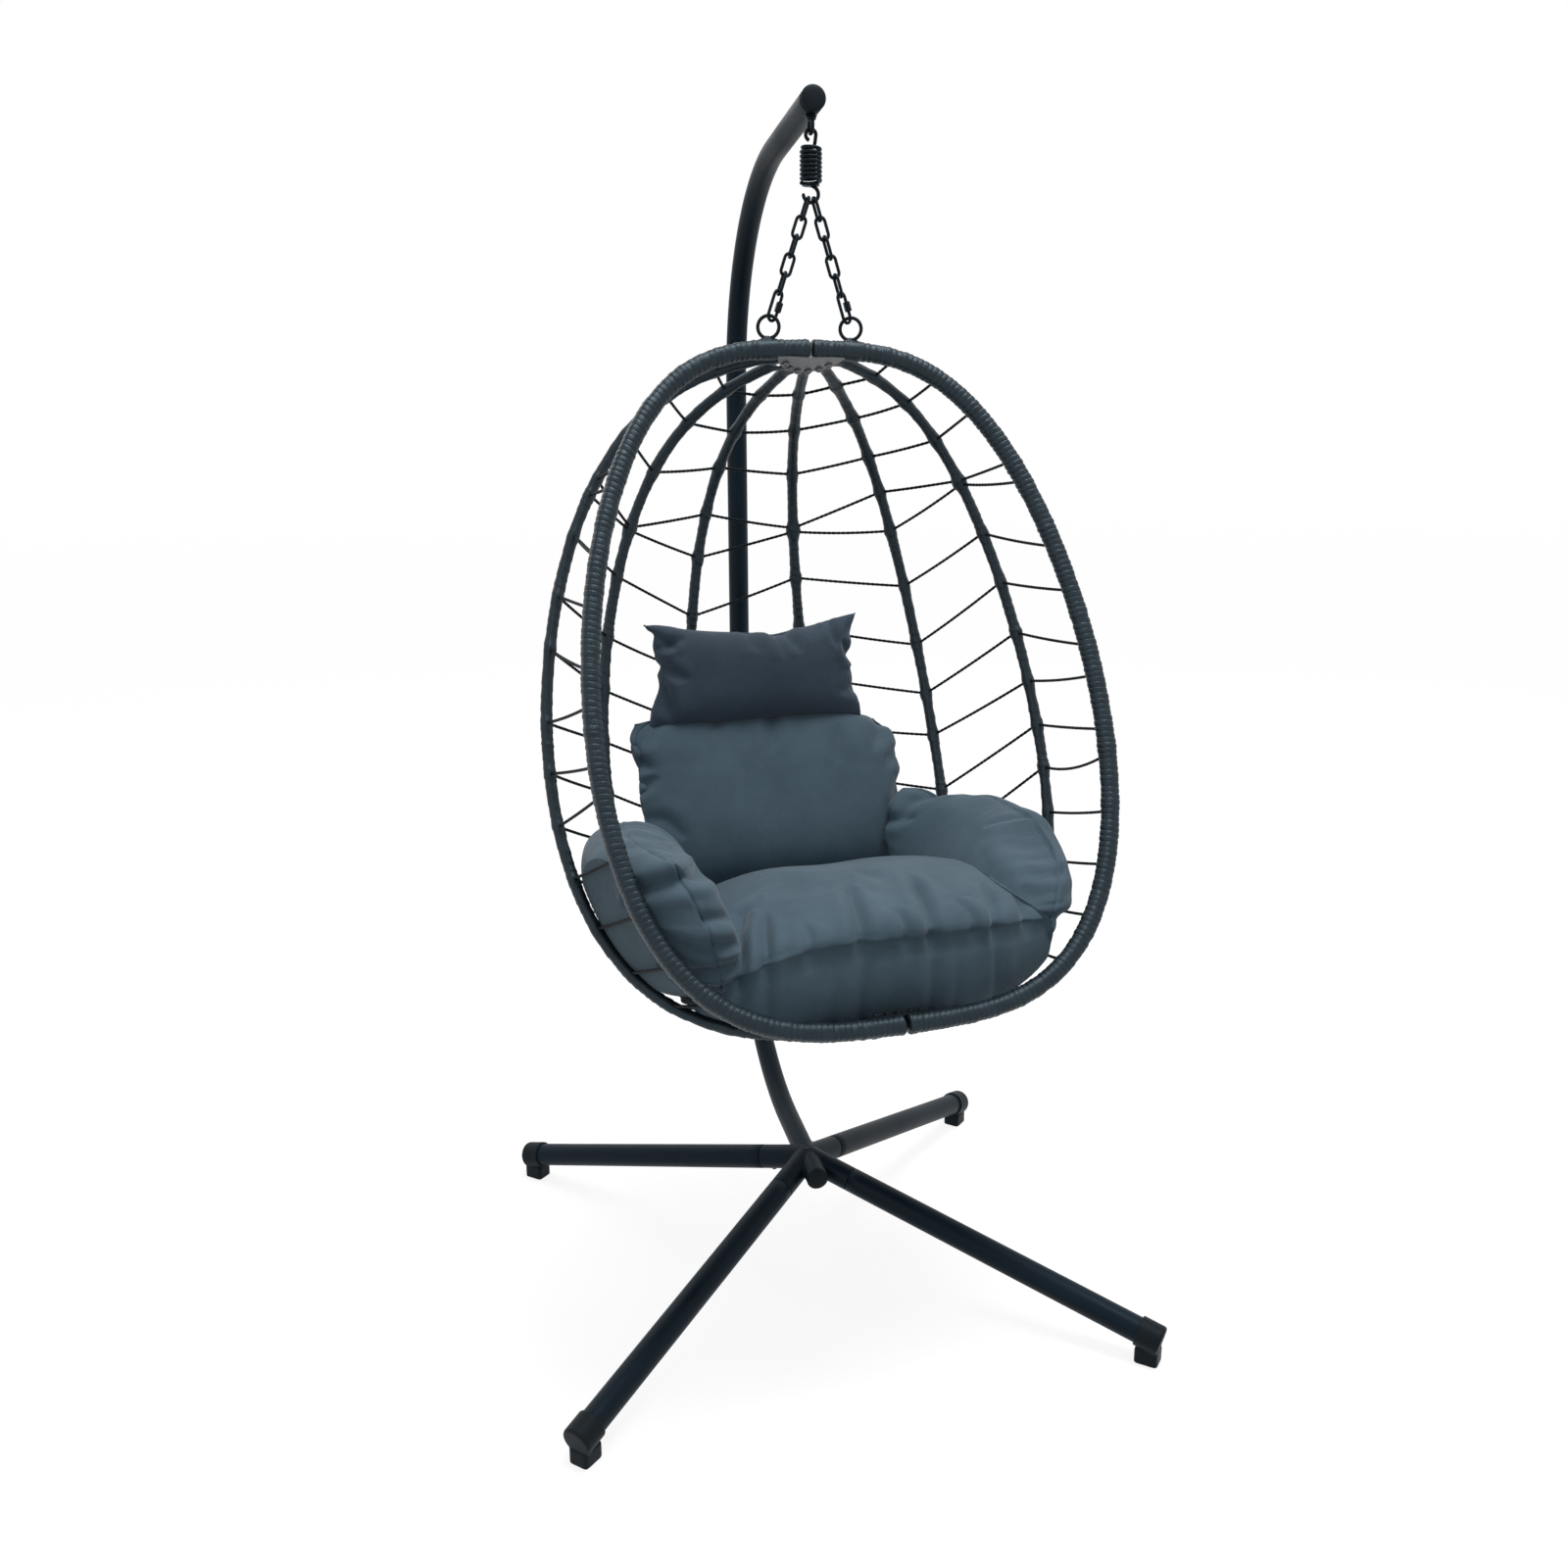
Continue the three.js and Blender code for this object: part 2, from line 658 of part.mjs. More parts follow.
function barRadius(index) {
  return isRim(index) ? rimRadius : ribRadius;
}

// The angle about the basket's axis at which each bar lies, the left rim first.
const meridianAngles = reaches.map((_, i) => Math.PI - (Math.PI * i) / bays + (isRim(i) ? 0 : ribSkew));

function onMeridian(angle, outline) {
  return v3(outline.out * Math.cos(angle), outline.out * Math.sin(angle), outline.z);
}

// Steps along one outline, closer together near its ends, where it bends more.
const rimSteps = 30;
const ribSteps = 20;
const endCrowding = 0.75;
function outlineSteps(reach, startDistance, steps) {
  const t0 = outlineEnd(reach, startDistance, true);
  const t1 = outlineEnd(reach, startDistance, false);
  const ts = [];
  for (let i = 0; i <= steps; i++) {
    const share = i / steps;
    const eased = share - (endCrowding * Math.sin(2 * Math.PI * share)) / (2 * Math.PI);
    ts.push(t0 + (t1 - t0) * eased);
  }
  return ts;
}

function meridianPoints(index, startDistance, steps) {
  const ts = outlineSteps(reaches[index], startDistance, steps);
  return ts.map((t) => onMeridian(meridianAngles[index], eggOutline(t, reaches[index])));
}

const placeNames = ["left", "1", "2", "3", "4", "5", "6", "right"];
for (let i = 0; i < reaches.length; i++) {
  const rim = isRim(i);
  const points = meridianPoints(i, rim ? rimSplit / 2 : ribStart, rim ? rimSteps : ribSteps);
  const name = rim ? `rim_${placeNames[i]}` : `rib_${placeNames[i]}`;
  addMesh(basket, name, rod(points, barRadius(i), rim ? 10 : 8), wicker);
}

// A half-moon plate that the rims and ribs are bolted to, with its bolts' heads on it.
function hingePlate(z, headSide) {
  const outline = new THREE.Shape();
  const round = plateRadius + plateGrowth;
  outline.absarc(0, -plateSetback, round, degrees(plateEdge), degrees(180 - plateEdge), false);
  const plate = new THREE.ExtrudeGeometry(outline, {
    depth: plateThickness,
    bevelEnabled: false,
    curveSegments: 24,
  });
  plate.translate(0, 0, z - plateThickness / 2);
  const pieces = [plate];
  for (let i = 1; i < reaches.length - 1; i++) {
    const a = meridianAngles[i];
    const head = new THREE.CylinderGeometry(boltHead, boltHead, boltHeadHeight, 6);
    head.rotateX(Math.PI / 2);
    const out = ribStart + boltInset;
    const rise = headSide * (plateThickness / 2 + boltHeadHeight / 2 - 0.1);
    head.translate(out * Math.cos(a), out * Math.sin(a), z + rise);
    pieces.push(head);
  }
  return join(...pieces);
}
const plateDrop = ribRadius + plateSeat + plateThickness / 2;
const rimSolids = [0, reaches.length - 1].map((i) =>
  rod(meridianPoints(i, rimSplit / 2, rimSteps), rimRadius + fitGap, 10));
addMesh(basket, "hinge_plate_top", cut(hingePlate(-plateDrop, -1), ...rimSolids), zinc);
addMesh(basket, "hinge_plate_bottom", cut(hingePlate(plateDrop - basketLength, 1), ...rimSolids), zinc);

// ---- lacing -------------------------------------------------------------------------------
// A table of distance along one outline, to place the cords evenly along it.
function measured(index) {
  const steps = 200;
  const table = [];
  let length = 0;
  let last = onMeridian(meridianAngles[index], eggOutline(0, reaches[index]));
  for (let i = 0; i <= steps; i++) {
    const point = onMeridian(meridianAngles[index], eggOutline(i / steps, reaches[index]));
    length += point.distanceTo(last);
    table.push({ length, point });
    last = point;
  }
  return table;
}

function atLength(table, length) {
  const i = Math.max(table.findIndex((row) => row.length >= length), 1);
  const before = table[i - 1];
  const after = table[i];
  const share = (length - before.length) / (after.length - before.length);
  return before.point.clone().lerp(after.point, share);
}

// Where the cord rows meet one outline. Rows are level near the top; lower down every other
// rib carries them lower, which makes the herringbone.
function rowLengths(index, total) {
  const rows = [];
  for (let i = 0; i < laceRings; i++) rows.push(laceStart + i * laceRingPitch);
  const ribRows = index % 2 === 0 ? laceHigh : laceLow;
  const { start, pitch } = isRim(index) ? laceRim : ribRows;
  for (let at = start; at < total - laceEnd; at += pitch) rows.push(at);
  return rows;
}

function laceBay(index) {
  const tables = [measured(index), measured(index + 1)];
  const totals = tables.map((table) => table[table.length - 1].length);
  const rows = [rowLengths(index, totals[0]), rowLengths(index + 1, totals[1])];
  const count = Math.min(rows[0].length, rows[1].length);
  const radii = [barRadius(index), barRadius(index + 1)];
  const seat = (side, length) => {
    const point = atLength(tables[side], length);
    const other = atLength(tables[1 - side], length);
    const across = other.clone().sub(point).normalize();
    const far = atLength(tables[side], length + 2);
    const forward = far.sub(point).normalize();
    across.addScaledVector(forward, -across.dot(forward)).normalize();
    return point.addScaledVector(across, radii[side] + cordRadius + laceGap);
  };
  const points = [];
  for (let row = 0; row < count; row++) {
    const order = row % 2 === 0 ? [0, 1] : [1, 0];
    points.push(seat(order[0], rows[order[0]][row]));
    points.push(seat(order[1], rows[order[1]][row]));
    if (row < count - 1) {
      const here = rows[order[1]][row];
      const next = rows[order[1]][row + 1];
      points.push(seat(order[1], (here + next) / 2));
    }
  }
  return rod(points, cordRadius, 4);
}
for (let i = 0; i < bays; i++) addMesh(basket, `lacing_${i + 1}`, laceBay(i), cord);

// ---- rings --------------------------------------------------------------------------------
for (const [side, place] of [[-1, "left"], [1, "right"]]) {
  const ring = new THREE.TorusGeometry(ringRadius, ringWire, 6, 20);
  ring.rotateX(Math.PI / 2);
  const mesh = addMesh(sling, `hanging_ring_${place}`, ring, chainPaint);
  mesh.position.set((side * ringSpacing) / 2, basketSetback, ringCentreZ);
  mesh.rotation.z = ringTurn;
}

// ---- cushions -----------------------------------------------------------------------------
// The room inside the basket, in the sling's frame: a solid whose corners run along the rims and
// ribs, a little inside them, and whose open side stands in front of the rims.
function roomInside(clearance) {
  const columns = reaches.map((reach, index) => {
    const inset = barRadius(index) + clearance;
    return outlineSteps(reach, ribStart, ribSteps).map((t) => {
      const here = eggOutline(t, reach);
      const before = eggOutline(t - 0.002, reach);
      const after = eggOutline(t + 0.002, reach);
      const length = Math.hypot(after.out - before.out, after.z - before.z);
      const out = here.out + ((after.z - before.z) / length) * inset;
      const z = here.z - ((after.out - before.out) / length) * inset;
      return onMeridian(meridianAngles[index], { out, z });
    });
  });
  const forward = v3(0, -roomInFront, 0);
  columns.unshift(columns[0].map((p) => p.clone().add(forward)));
  columns.push(columns[columns.length - 1].map((p) => p.clone().add(forward)));
  const position = columns.flatMap((column) => column.flatMap((p) => [p.x, p.y, p.z]));
  const index = [];
  const rows = ribSteps + 1;
  const n = columns.length;
  for (let j = 0; j < n; j++) {
    const here = j * rows;
    const next = ((j + 1) % n) * rows;
    for (let i = 0; i < ribSteps; i++) {
      index.push(here + i, next + i + 1, here + i + 1, here + i, next + i, next + i + 1);
    }
    if (j > 0 && j < n - 1) {
      index.push(0, next, here);
      index.push(ribSteps, here + ribSteps, next + ribSteps);
    }
  }
  const geometry = new THREE.BufferGeometry();
  geometry.setAttribute("position", new THREE.Float32BufferAttribute(position, 3));
  geometry.setIndex(index);
  geometry.rotateX(-basketLean);
  geometry.translate(basketTop.x, basketTop.y, basketTop.z);
  return geometry;
}

// A block with every side and corner swollen round: |x|^p + |y|^p + |z|^p = 1, stretched, where p
// is the cushion's fullness.
function softBlock(cushion, grow) {
  const [width, depth, height] = cushion.size;
  const cells = 4;
  const bare = new THREE.BoxGeometry(2, 2, 2, cells, cells, cells);
  const at = bare.getAttribute("position");
  for (let i = 0; i < at.count; i++) {
    const p = v3(at.getX(i), at.getY(i), at.getZ(i));
    const power = cushion.fullness;
    const size = (Math.abs(p.x) ** power + Math.abs(p.y) ** power + Math.abs(p.z) ** power) ** (1 / power);
    p.divideScalar(size);
    at.setXYZ(i, p.x * (width / 2 + grow), p.y * (depth / 2 + grow), p.z * (height / 2 + grow));
  }
  bare.rotateX(-cushion.lean);
  bare.translate(cushion.at.x, cushion.at.y, cushion.at.z);
  return bare;
}

// The room taken by the lower plate and its bolts, which the seat stays above.
const plateRoomRadius = plateRadius + plateClearance;
const plateRoomTop = plateDrop + plateThickness / 2 + boltHeadHeight + cushionGap;
const plateRoom = new THREE.CylinderGeometry(plateRoomRadius, plateRoomRadius, plateRoomRadius, 20);
plateRoom.rotateX(Math.PI / 2);
plateRoom.translate(0, 0, plateRoomTop - plateRoomRadius / 2 - basketLength);
plateRoom.rotateX(-basketLean);
plateRoom.translate(basketTop.x, basketTop.y, basketTop.z);
const room = cut(roomInside(cushionGap), plateRoom);
const backCushion = {
  at: v3(0, backMiddle, backTop - backHeight / 2),
  size: [backWidth, backThickness, backHeight],
  lean: backLean,
  fullness: 4,
};
const pillow = {
  at: v3(0, pillowSetback, pillowMiddle),
  size: [pillowWidth, pillowThickness, pillowHeight],
  lean: pillowLean,
  fullness: 3.4,
};
const seat = {
  at: v3(0, seatMiddle, seatTop - seatThickness / 2),
  size: [seatWidth, seatDepth, seatThickness],
  lean: 0,
  fullness: 4,
};
const armPads = [-1, 1].map((side) => ({
  at: v3(side * armOffset, armMiddle, armTop - armHeight / 2),
  size: [armWidth, armDepth, armHeight],
  lean: 0,
  fullness: 3,
}));
const rounded = (cushion, ...neighbours) => {
  const inside = common(softBlock(cushion, 0), room);
  return cut(inside, ...neighbours.map((other) => softBlock(other, cushionGap)));
};
addMesh(sling, "back_cushion", rounded(backCushion), fabric);
addMesh(sling, "head_pillow", rounded(pillow, backCushion), fabric);
addMesh(sling, "arm_pad_left", rounded(armPads[0], backCushion), fabric);
addMesh(sling, "arm_pad_right", rounded(armPads[1], backCushion), fabric);
addMesh(sling, "seat_cushion", rounded(seat, backCushion, ...armPads), fabric);

// The finished part stands with the middle of its base at the origin.
root.updateMatrixWorld(true);
const bounds = new THREE.Box3().setFromObject(root, true);
const middle = bounds.getCenter(v3(0, 0, 0));
root.position.set(-middle.x, -middle.y, -bounds.min.z);

export default root;
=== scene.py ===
import math

import bpy
import numpy as np
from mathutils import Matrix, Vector


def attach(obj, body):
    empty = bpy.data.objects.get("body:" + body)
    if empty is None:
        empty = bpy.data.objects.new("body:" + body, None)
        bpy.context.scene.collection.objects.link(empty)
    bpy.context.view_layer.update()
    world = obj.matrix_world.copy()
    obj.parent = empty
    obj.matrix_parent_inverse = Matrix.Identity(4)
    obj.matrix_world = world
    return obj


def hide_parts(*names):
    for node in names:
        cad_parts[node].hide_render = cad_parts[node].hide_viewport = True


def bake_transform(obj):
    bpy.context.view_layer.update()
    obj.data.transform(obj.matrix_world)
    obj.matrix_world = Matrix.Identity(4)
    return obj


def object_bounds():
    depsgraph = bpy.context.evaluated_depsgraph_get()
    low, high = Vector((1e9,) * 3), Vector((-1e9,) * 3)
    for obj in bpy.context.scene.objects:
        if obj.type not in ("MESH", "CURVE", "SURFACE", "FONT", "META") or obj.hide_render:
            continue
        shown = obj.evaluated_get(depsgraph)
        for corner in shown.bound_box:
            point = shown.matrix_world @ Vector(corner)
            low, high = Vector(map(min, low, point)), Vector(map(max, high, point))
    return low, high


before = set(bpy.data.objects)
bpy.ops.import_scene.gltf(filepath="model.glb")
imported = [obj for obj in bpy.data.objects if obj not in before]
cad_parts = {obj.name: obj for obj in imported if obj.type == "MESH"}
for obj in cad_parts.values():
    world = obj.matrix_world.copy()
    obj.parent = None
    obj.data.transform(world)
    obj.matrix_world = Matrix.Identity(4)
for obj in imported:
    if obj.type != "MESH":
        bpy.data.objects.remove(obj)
cadBox = [[float(c) for c in corner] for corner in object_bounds()]
print("frame loaded")

# Camera and light: first, so that everything is judged from the same place.

camera = {
    "place": (-0.5942, -2.2214, 1.4061),
    "yaw": 0.2486,
    "pitch": 0.2281,
    "roll": -0.0053,
    "lens": 32.0,
    "sensor": 36,
    "farEnd": 120,
}


# A camera looking along (sin yaw cos pitch, cos yaw cos pitch, -sin pitch), rolled about that line.
def addCamera(c):
    ahead = Vector((
        math.sin(c["yaw"]) * math.cos(c["pitch"]),
        math.cos(c["yaw"]) * math.cos(c["pitch"]),
        -math.sin(c["pitch"]),
    ))
    level = Vector((math.cos(c["yaw"]), -math.sin(c["yaw"]), 0))
    up = level.cross(ahead)
    right = level * math.cos(c["roll"]) + up * math.sin(c["roll"])
    up = right.cross(ahead)
    data = bpy.data.cameras.new("camera")
    data.lens = c["lens"]
    data.sensor_width = c["sensor"]
    data.clip_end = c["farEnd"]
    seen = bpy.data.objects.new("camera", data)
    bpy.context.scene.collection.objects.link(seen)
    facing = seen.matrix_world.to_3x3()
    for i in range(3):
        facing[i] = (right[i], up[i], -ahead[i])
    seen.matrix_world = facing.to_4x4()
    seen.location = c["place"]
    bpy.context.scene.camera = seen


addCamera(camera)

light = {
    "worldLight": 0.40,
    "worldSeen": 1.0,
    "floorColour": (0.30, 0.30, 0.30),
    "floorSeen": 0.84,
    "floorHalf": 28.0,
    "floorGap": 0.0005,
    "key": {"place": (0.55, -0.55, 4.9), "aim": (0, -0.1, 0.9), "size": 2.0, "power": 120},
    "fill": {"place": (-3.2, -2.8, 2.6), "aim": (0, -0.1, 0.9), "size": 3.0, "power": 14},
    "rim": {"place": (-1.2, 3.2, 3.4), "aim": (0, 0, 1.1), "size": 2.2, "power": 12},
}


def addLamp(name, lamp):
    data = bpy.data.lights.new(name, "AREA")
    data.shape = "DISK"
    data.size = lamp["size"]
    data.energy = lamp["power"]
    thing = bpy.data.objects.new(name, data)
    bpy.context.scene.collection.objects.link(thing)
    thing.location = lamp["place"]
    toward = Vector(lamp["aim"]) - Vector(lamp["place"])
    thing.rotation_euler = toward.to_track_quat("-Z", "Y").to_euler()


# 1 where the camera, a reflection or a see-through part looks at the background, otherwise 0.
def seenDirectly(tree):
    path = tree.nodes.new("ShaderNodeLightPath")
    total = path.outputs["Is Camera Ray"]
    for kind in ("Is Glossy Ray", "Is Transmission Ray"):
        more = tree.nodes.new("ShaderNodeMath")
        more.operation = "MAXIMUM"
        tree.links.new(total, more.inputs[0])
        tree.links.new(path.outputs[kind], more.inputs[1])
        total = more.outputs[0]
    return total


def addWorld(settings):
    world = bpy.data.worlds.new("studio")
    bpy.context.scene.world = world
    world.use_nodes = True
    tree = world.node_tree
    tree.nodes.clear()
    mix = tree.nodes.new("ShaderNodeMixShader")
    tree.links.new(seenDirectly(tree), mix.inputs["Fac"])
    for slot, strength in ((1, settings["worldLight"]), (2, settings["worldSeen"])):
        white = tree.nodes.new("ShaderNodeBackground")
        white.inputs["Color"].default_value = (1, 1, 1, 1)
        white.inputs["Strength"].default_value = strength
        tree.links.new(white.outputs[0], mix.inputs[slot])
    out = tree.nodes.new("ShaderNodeOutputWorld")
    tree.links.new(mix.outputs[0], out.inputs["Surface"])


addWorld(light)
for lampName in ("key", "fill", "rim"):
    addLamp(lampName, light[lampName])
view = bpy.context.scene.view_settings
view.view_transform = "Standard"
print("camera and lights placed")

# Materials.


# A short way to write a material: add() makes a node, wire() joins two sockets, into() feeds one
# of the shader's own sockets and give() sets them.
class Nodes:
    def __init__(self, name):
        self.material = bpy.data.materials.new(name)
        self.material.use_nodes = True
        self.tree = self.material.node_tree
        self.shader = self.tree.nodes["Principled BSDF"]

    def add(self, kind, **inputs):
        node = self.tree.nodes.new("ShaderNode" + kind)
        for key, value in inputs.items():
            if key in node.inputs:
                node.inputs[key].default_value = value
            else:
                setattr(node, key, value)
        return node

    def wire(self, source, target):
        self.tree.links.new(source, target)

    def into(self, source, socket):
        self.wire(source, self.shader.inputs[socket])

    def give(self, values):
        for socket, value in values.items():
            self.shader.inputs[socket].default_value = value

    def mix(self, share, a, b):
        node = self.add("Mix", data_type="RGBA")
        self.wire(share, node.inputs["Factor"])
        node.inputs["A"].default_value = (*a, 1)
        node.inputs["B"].default_value = (*b, 1)
        return node.outputs["Result"]

    # a k + b, for two sockets and a number
    def blend(self, a, k, b):
        node = self.add("Math", operation="MULTIPLY_ADD")
        self.wire(a, node.inputs[0])
        node.inputs[1].default_value = k
        self.wire(b, node.inputs[2])
        return node.outputs[0]

    def ramp(self, source, low, high, start=0.0, end=1.0):
        node = self.add("MapRange")
        self.wire(source, node.inputs["Value"])
        for key, value in (("From Min", low), ("From Max", high), ("To Min", start), ("To Max", end)):
            node.inputs[key].default_value = value
        return node.outputs["Result"]

    def bump(self, height, strength, distance, under=None):
        node = self.add("Bump", Strength=strength, Distance=distance)
        self.wire(height, node.inputs["Height"])
        if under is not None:
            self.wire(under, node.inputs["Normal"])
        return node.outputs["Normal"]

    def noise(self, where, scale, detail=2.0, roughness=0.5):
        node = self.add("TexNoise", Scale=scale, Detail=detail, Roughness=roughness)
        self.wire(where, node.inputs["Vector"])
        return node.outputs["Fac"]

    def wave(self, where, scale, direction):
        node = self.add("TexWave", Scale=scale, Distortion=0.6, bands_direction=direction)
        self.wire(where, node.inputs["Vector"])
        return node.outputs["Fac"]

    def place(self):
        return self.add("TexCoord").outputs["Object"]


# Paint or plastic: two close shades mixed by broad noise, with a fine skin for bump.
def paintMaterial(name, dark, pale, roughness, metallic, grain, grainDepth):
    n = Nodes(name)
    where = n.place()
    cloud = n.noise(where, 9.0, 4.0)
    n.into(n.mix(n.ramp(cloud, 0.35, 0.65), dark, pale), "Base Color")
    n.into(n.bump(n.noise(where, grain, 3.0), 0.35, grainDepth), "Normal")
    n.into(n.ramp(cloud, 0.3, 0.7, roughness - 0.05, roughness + 0.07), "Roughness")
    n.give({"Metallic": metallic, "Specular IOR Level": 0.5 if metallic > 0.5 else 0.14})
    if metallic < 0.5:
        n.give({"Specular Tint": (0.62, 0.84, 1.0, 1)})
    return n.material


# Flat plastic wicker: streaks that run along the strand, read from the UV map, whose first
# number goes round the bar and whose second counts strands; each strand has its own shade.
def wickerMaterial(name, dark, pale, roughness, streak):
    n = Nodes(name)
    uv = n.add("UVMap").outputs["UV"]
    stretched = n.add("Mapping", Scale=(1.4, streak, 1.0))
    n.wire(uv, stretched.inputs["Vector"])
    streaks = n.noise(stretched.outputs["Vector"], 6.0, 4.0, 0.6)
    parts = n.add("SeparateXYZ")
    n.wire(uv, parts.inputs["Vector"])
    whole = n.add("Math", operation="FLOOR")
    n.wire(parts.outputs["Y"], whole.inputs[0])
    hashed = n.add("TexWhiteNoise", noise_dimensions="1D")
    n.wire(whole.outputs[0], hashed.inputs["W"])
    shade = n.blend(hashed.outputs["Value"], 0.35, streaks)
    n.into(n.mix(n.ramp(shade, 0.42, 1.0), dark, pale), "Base Color")
    lumps = n.noise(n.place(), 55.0)
    n.into(n.bump(lumps, 0.25, 0.001, n.bump(streaks, 0.5, 0.0006)), "Normal")
    n.into(n.ramp(streaks, 0.0, 1.0, roughness - 0.12, roughness + 0.12), "Roughness")
    n.give({"Specular IOR Level": 0.42, "Specular Tint": (0.66, 0.86, 1.0, 1)})
    return n.material


# Woven polyester cover: two crossing fine waves for the weave, broad soft mottling, light sheen.
def fabricMaterial(name, dark, pale):
    n = Nodes(name)
    where = n.place()
    weave = n.add("Math", operation="MULTIPLY")
    for k, direction in enumerate("XZ"):
        n.wire(n.wave(where, 520.0, direction), weave.inputs[k])
    shade = n.blend(n.noise(where, 420.0), 0.3, n.noise(where, 14.0, 5.0, 0.55))
    n.into(n.mix(n.ramp(shade, 0.45, 0.85), dark, pale), "Base Color")
    creased = n.noise(where, 24.0, 3.0)
    n.into(n.bump(creased, 0.16, 0.01, n.bump(weave.outputs[0], 0.25, 0.0006)), "Normal")
    n.give({"Roughness": 0.78, "Sheen Weight": 0.22, "Sheen Roughness": 0.4, "Specular IOR Level": 0.3})
    return n.material


# per paint: dark and pale shade, roughness, metal, grain scale, grain depth
paints = {
    "powderCoat": ((0.0045, 0.0098, 0.0160), (0.0075, 0.0145, 0.0225), 0.46, 0.0, 900.0, 0.0004),
    "darkPaint": ((0.0065, 0.0085, 0.0110), (0.012, 0.0155, 0.019), 0.36, 0.3, 700.0, 0.0004),
    "blackPlastic": ((0.0065, 0.0085, 0.0105), (0.0105, 0.013, 0.016), 0.5, 0.0, 1400.0, 0.0003),
    "brightZinc": ((0.11, 0.115, 0.12), (0.20, 0.205, 0.21), 0.36, 0.85, 300.0, 0.0004),
    "lacingCord": ((0.0025, 0.0035, 0.0045), (0.0050, 0.0068, 0.0085), 0.6, 0.0, 1500.0, 0.0006),
}
paint = {name: paintMaterial(name, *values) for name, values in paints.items()}
rimWicker = wickerMaterial("rimWicker", (0.0040, 0.0085, 0.0120), (0.0125, 0.0220, 0.0290), 0.36, 5.0)
ribWicker = wickerMaterial("ribWicker", (0.0035, 0.0070, 0.0100), (0.0100, 0.0170, 0.0225), 0.42, 4.0)
cushionCover = fabricMaterial("cushionCover", (0.060, 0.101, 0.134), (0.080, 0.129, 0.167))
pillowCover = fabricMaterial("pillowCover", (0.042, 0.066, 0.096), (0.056, 0.085, 0.119))
print("materials made")


# A matt floor a hair under the feet, lifted towards the background's white where it is seen.
def addFloor(settings):
    half = settings["floorHalf"]
    mesh = bpy.data.meshes.new("floor")
    corners = [(-half, -half, 0), (half, -half, 0), (half, half, 0), (-half, half, 0)]
    mesh.from_pydata(corners, [], [(0, 1, 2, 3)])
    floor = bpy.data.objects.new("floor", mesh)
    bpy.context.scene.collection.objects.link(floor)
    n = Nodes("floorPaint")
    n.give({"Base Color": (*settings["floorColour"], 1), "Roughness": 0.9, "Specular IOR Level": 0.1})
    n.give({"Emission Color": (1, 1, 1, 1)})
    glow = n.add("Math", operation="MULTIPLY")
    n.wire(seenDirectly(n.tree), glow.inputs[0])
    glow.inputs[1].default_value = settings["floorSeen"]
    n.into(glow.outputs[0], "Emission Strength")
    mesh.materials.append(n.material)
    floor.location = (0, 0, cadBox[0][2] - settings["floorGap"])


addFloor(light)

# Surfaces worked out with numpy.


xWay, yWay, zWay = np.eye(3)


# Each vector divided by its own length.
def unit(v):
    v = np.asarray(v, float)
    return v / np.maximum(np.linalg.norm(v, axis=-1, keepdims=True), 1e-12)


# Turns (n, 3) points by an angle about an axis through the origin, by Rodrigues' formula.
def turned(points, axis, angle):
    p = np.asarray(points, float)
    k = unit(axis)
    c, s = math.cos(angle), math.sin(angle)
    return p * c + np.cross(k, p) * s + np.outer(p @ k, k) * (1 - c)


# The smallest turn that carries unit vector a onto unit vector b, applied to the points.
def carried(points, a, b):
    a, b = unit(a), unit(b)
    axis = np.cross(a, b)
    size = np.linalg.norm(axis)
    if size < 1e-9:
        return np.asarray(points, float).copy()
    return turned(points, axis, math.atan2(size, float(a @ b)))


# Equal angles round one turn, starting at 0.
def circle(count):
    return np.arange(count) * 2 * math.pi / count


# The radius of a hexagon at each angle, from half its width across flats.
def hexagon(angle, half):
    return half / np.cos((angle + math.pi / 6) % (math.pi / 3) - math.pi / 6)


# A bell curve, exp(-(x / width)^2).
def bell(x, width):
    return np.exp(-(x / width) ** 2)


# The distance run along a line of points, at each of them.
def runOf(points):
    return np.concatenate([[0], np.cumsum(np.linalg.norm(np.diff(points, axis=0), axis=1))])


# Quads over a grid of points whose columns close on themselves, and its rows too if asked.
def gridQuads(rows, columns, closed):
    i, j = np.meshgrid(np.arange(rows if closed else rows - 1), np.arange(columns), indexing="ij")
    i2, j2 = (i + 1) % rows, (j + 1) % columns
    corners = (i, j), (i, j2), (i2, j2), (i2, j)
    return np.stack([row * columns + column for row, column in corners], -1).reshape(-1, 4)


# A surface from rows of points, capped at its first and last row unless the rows close.
def surfaceOf(verts, uv=None, closed=False):
    rows, columns = verts.shape[:2]
    quads = gridQuads(rows, columns, closed)
    first, last = list(range(columns)), [(rows - 1) * columns + k for k in range(columns)]
    caps = [] if closed else [first[::-1], last]
    uv = np.zeros((len(quads), 4, 2)) if uv is None else uv.reshape(-1, 4, 2)
    return {"verts": verts.reshape(-1, 3), "quads": quads, "uv": uv, "caps": caps}


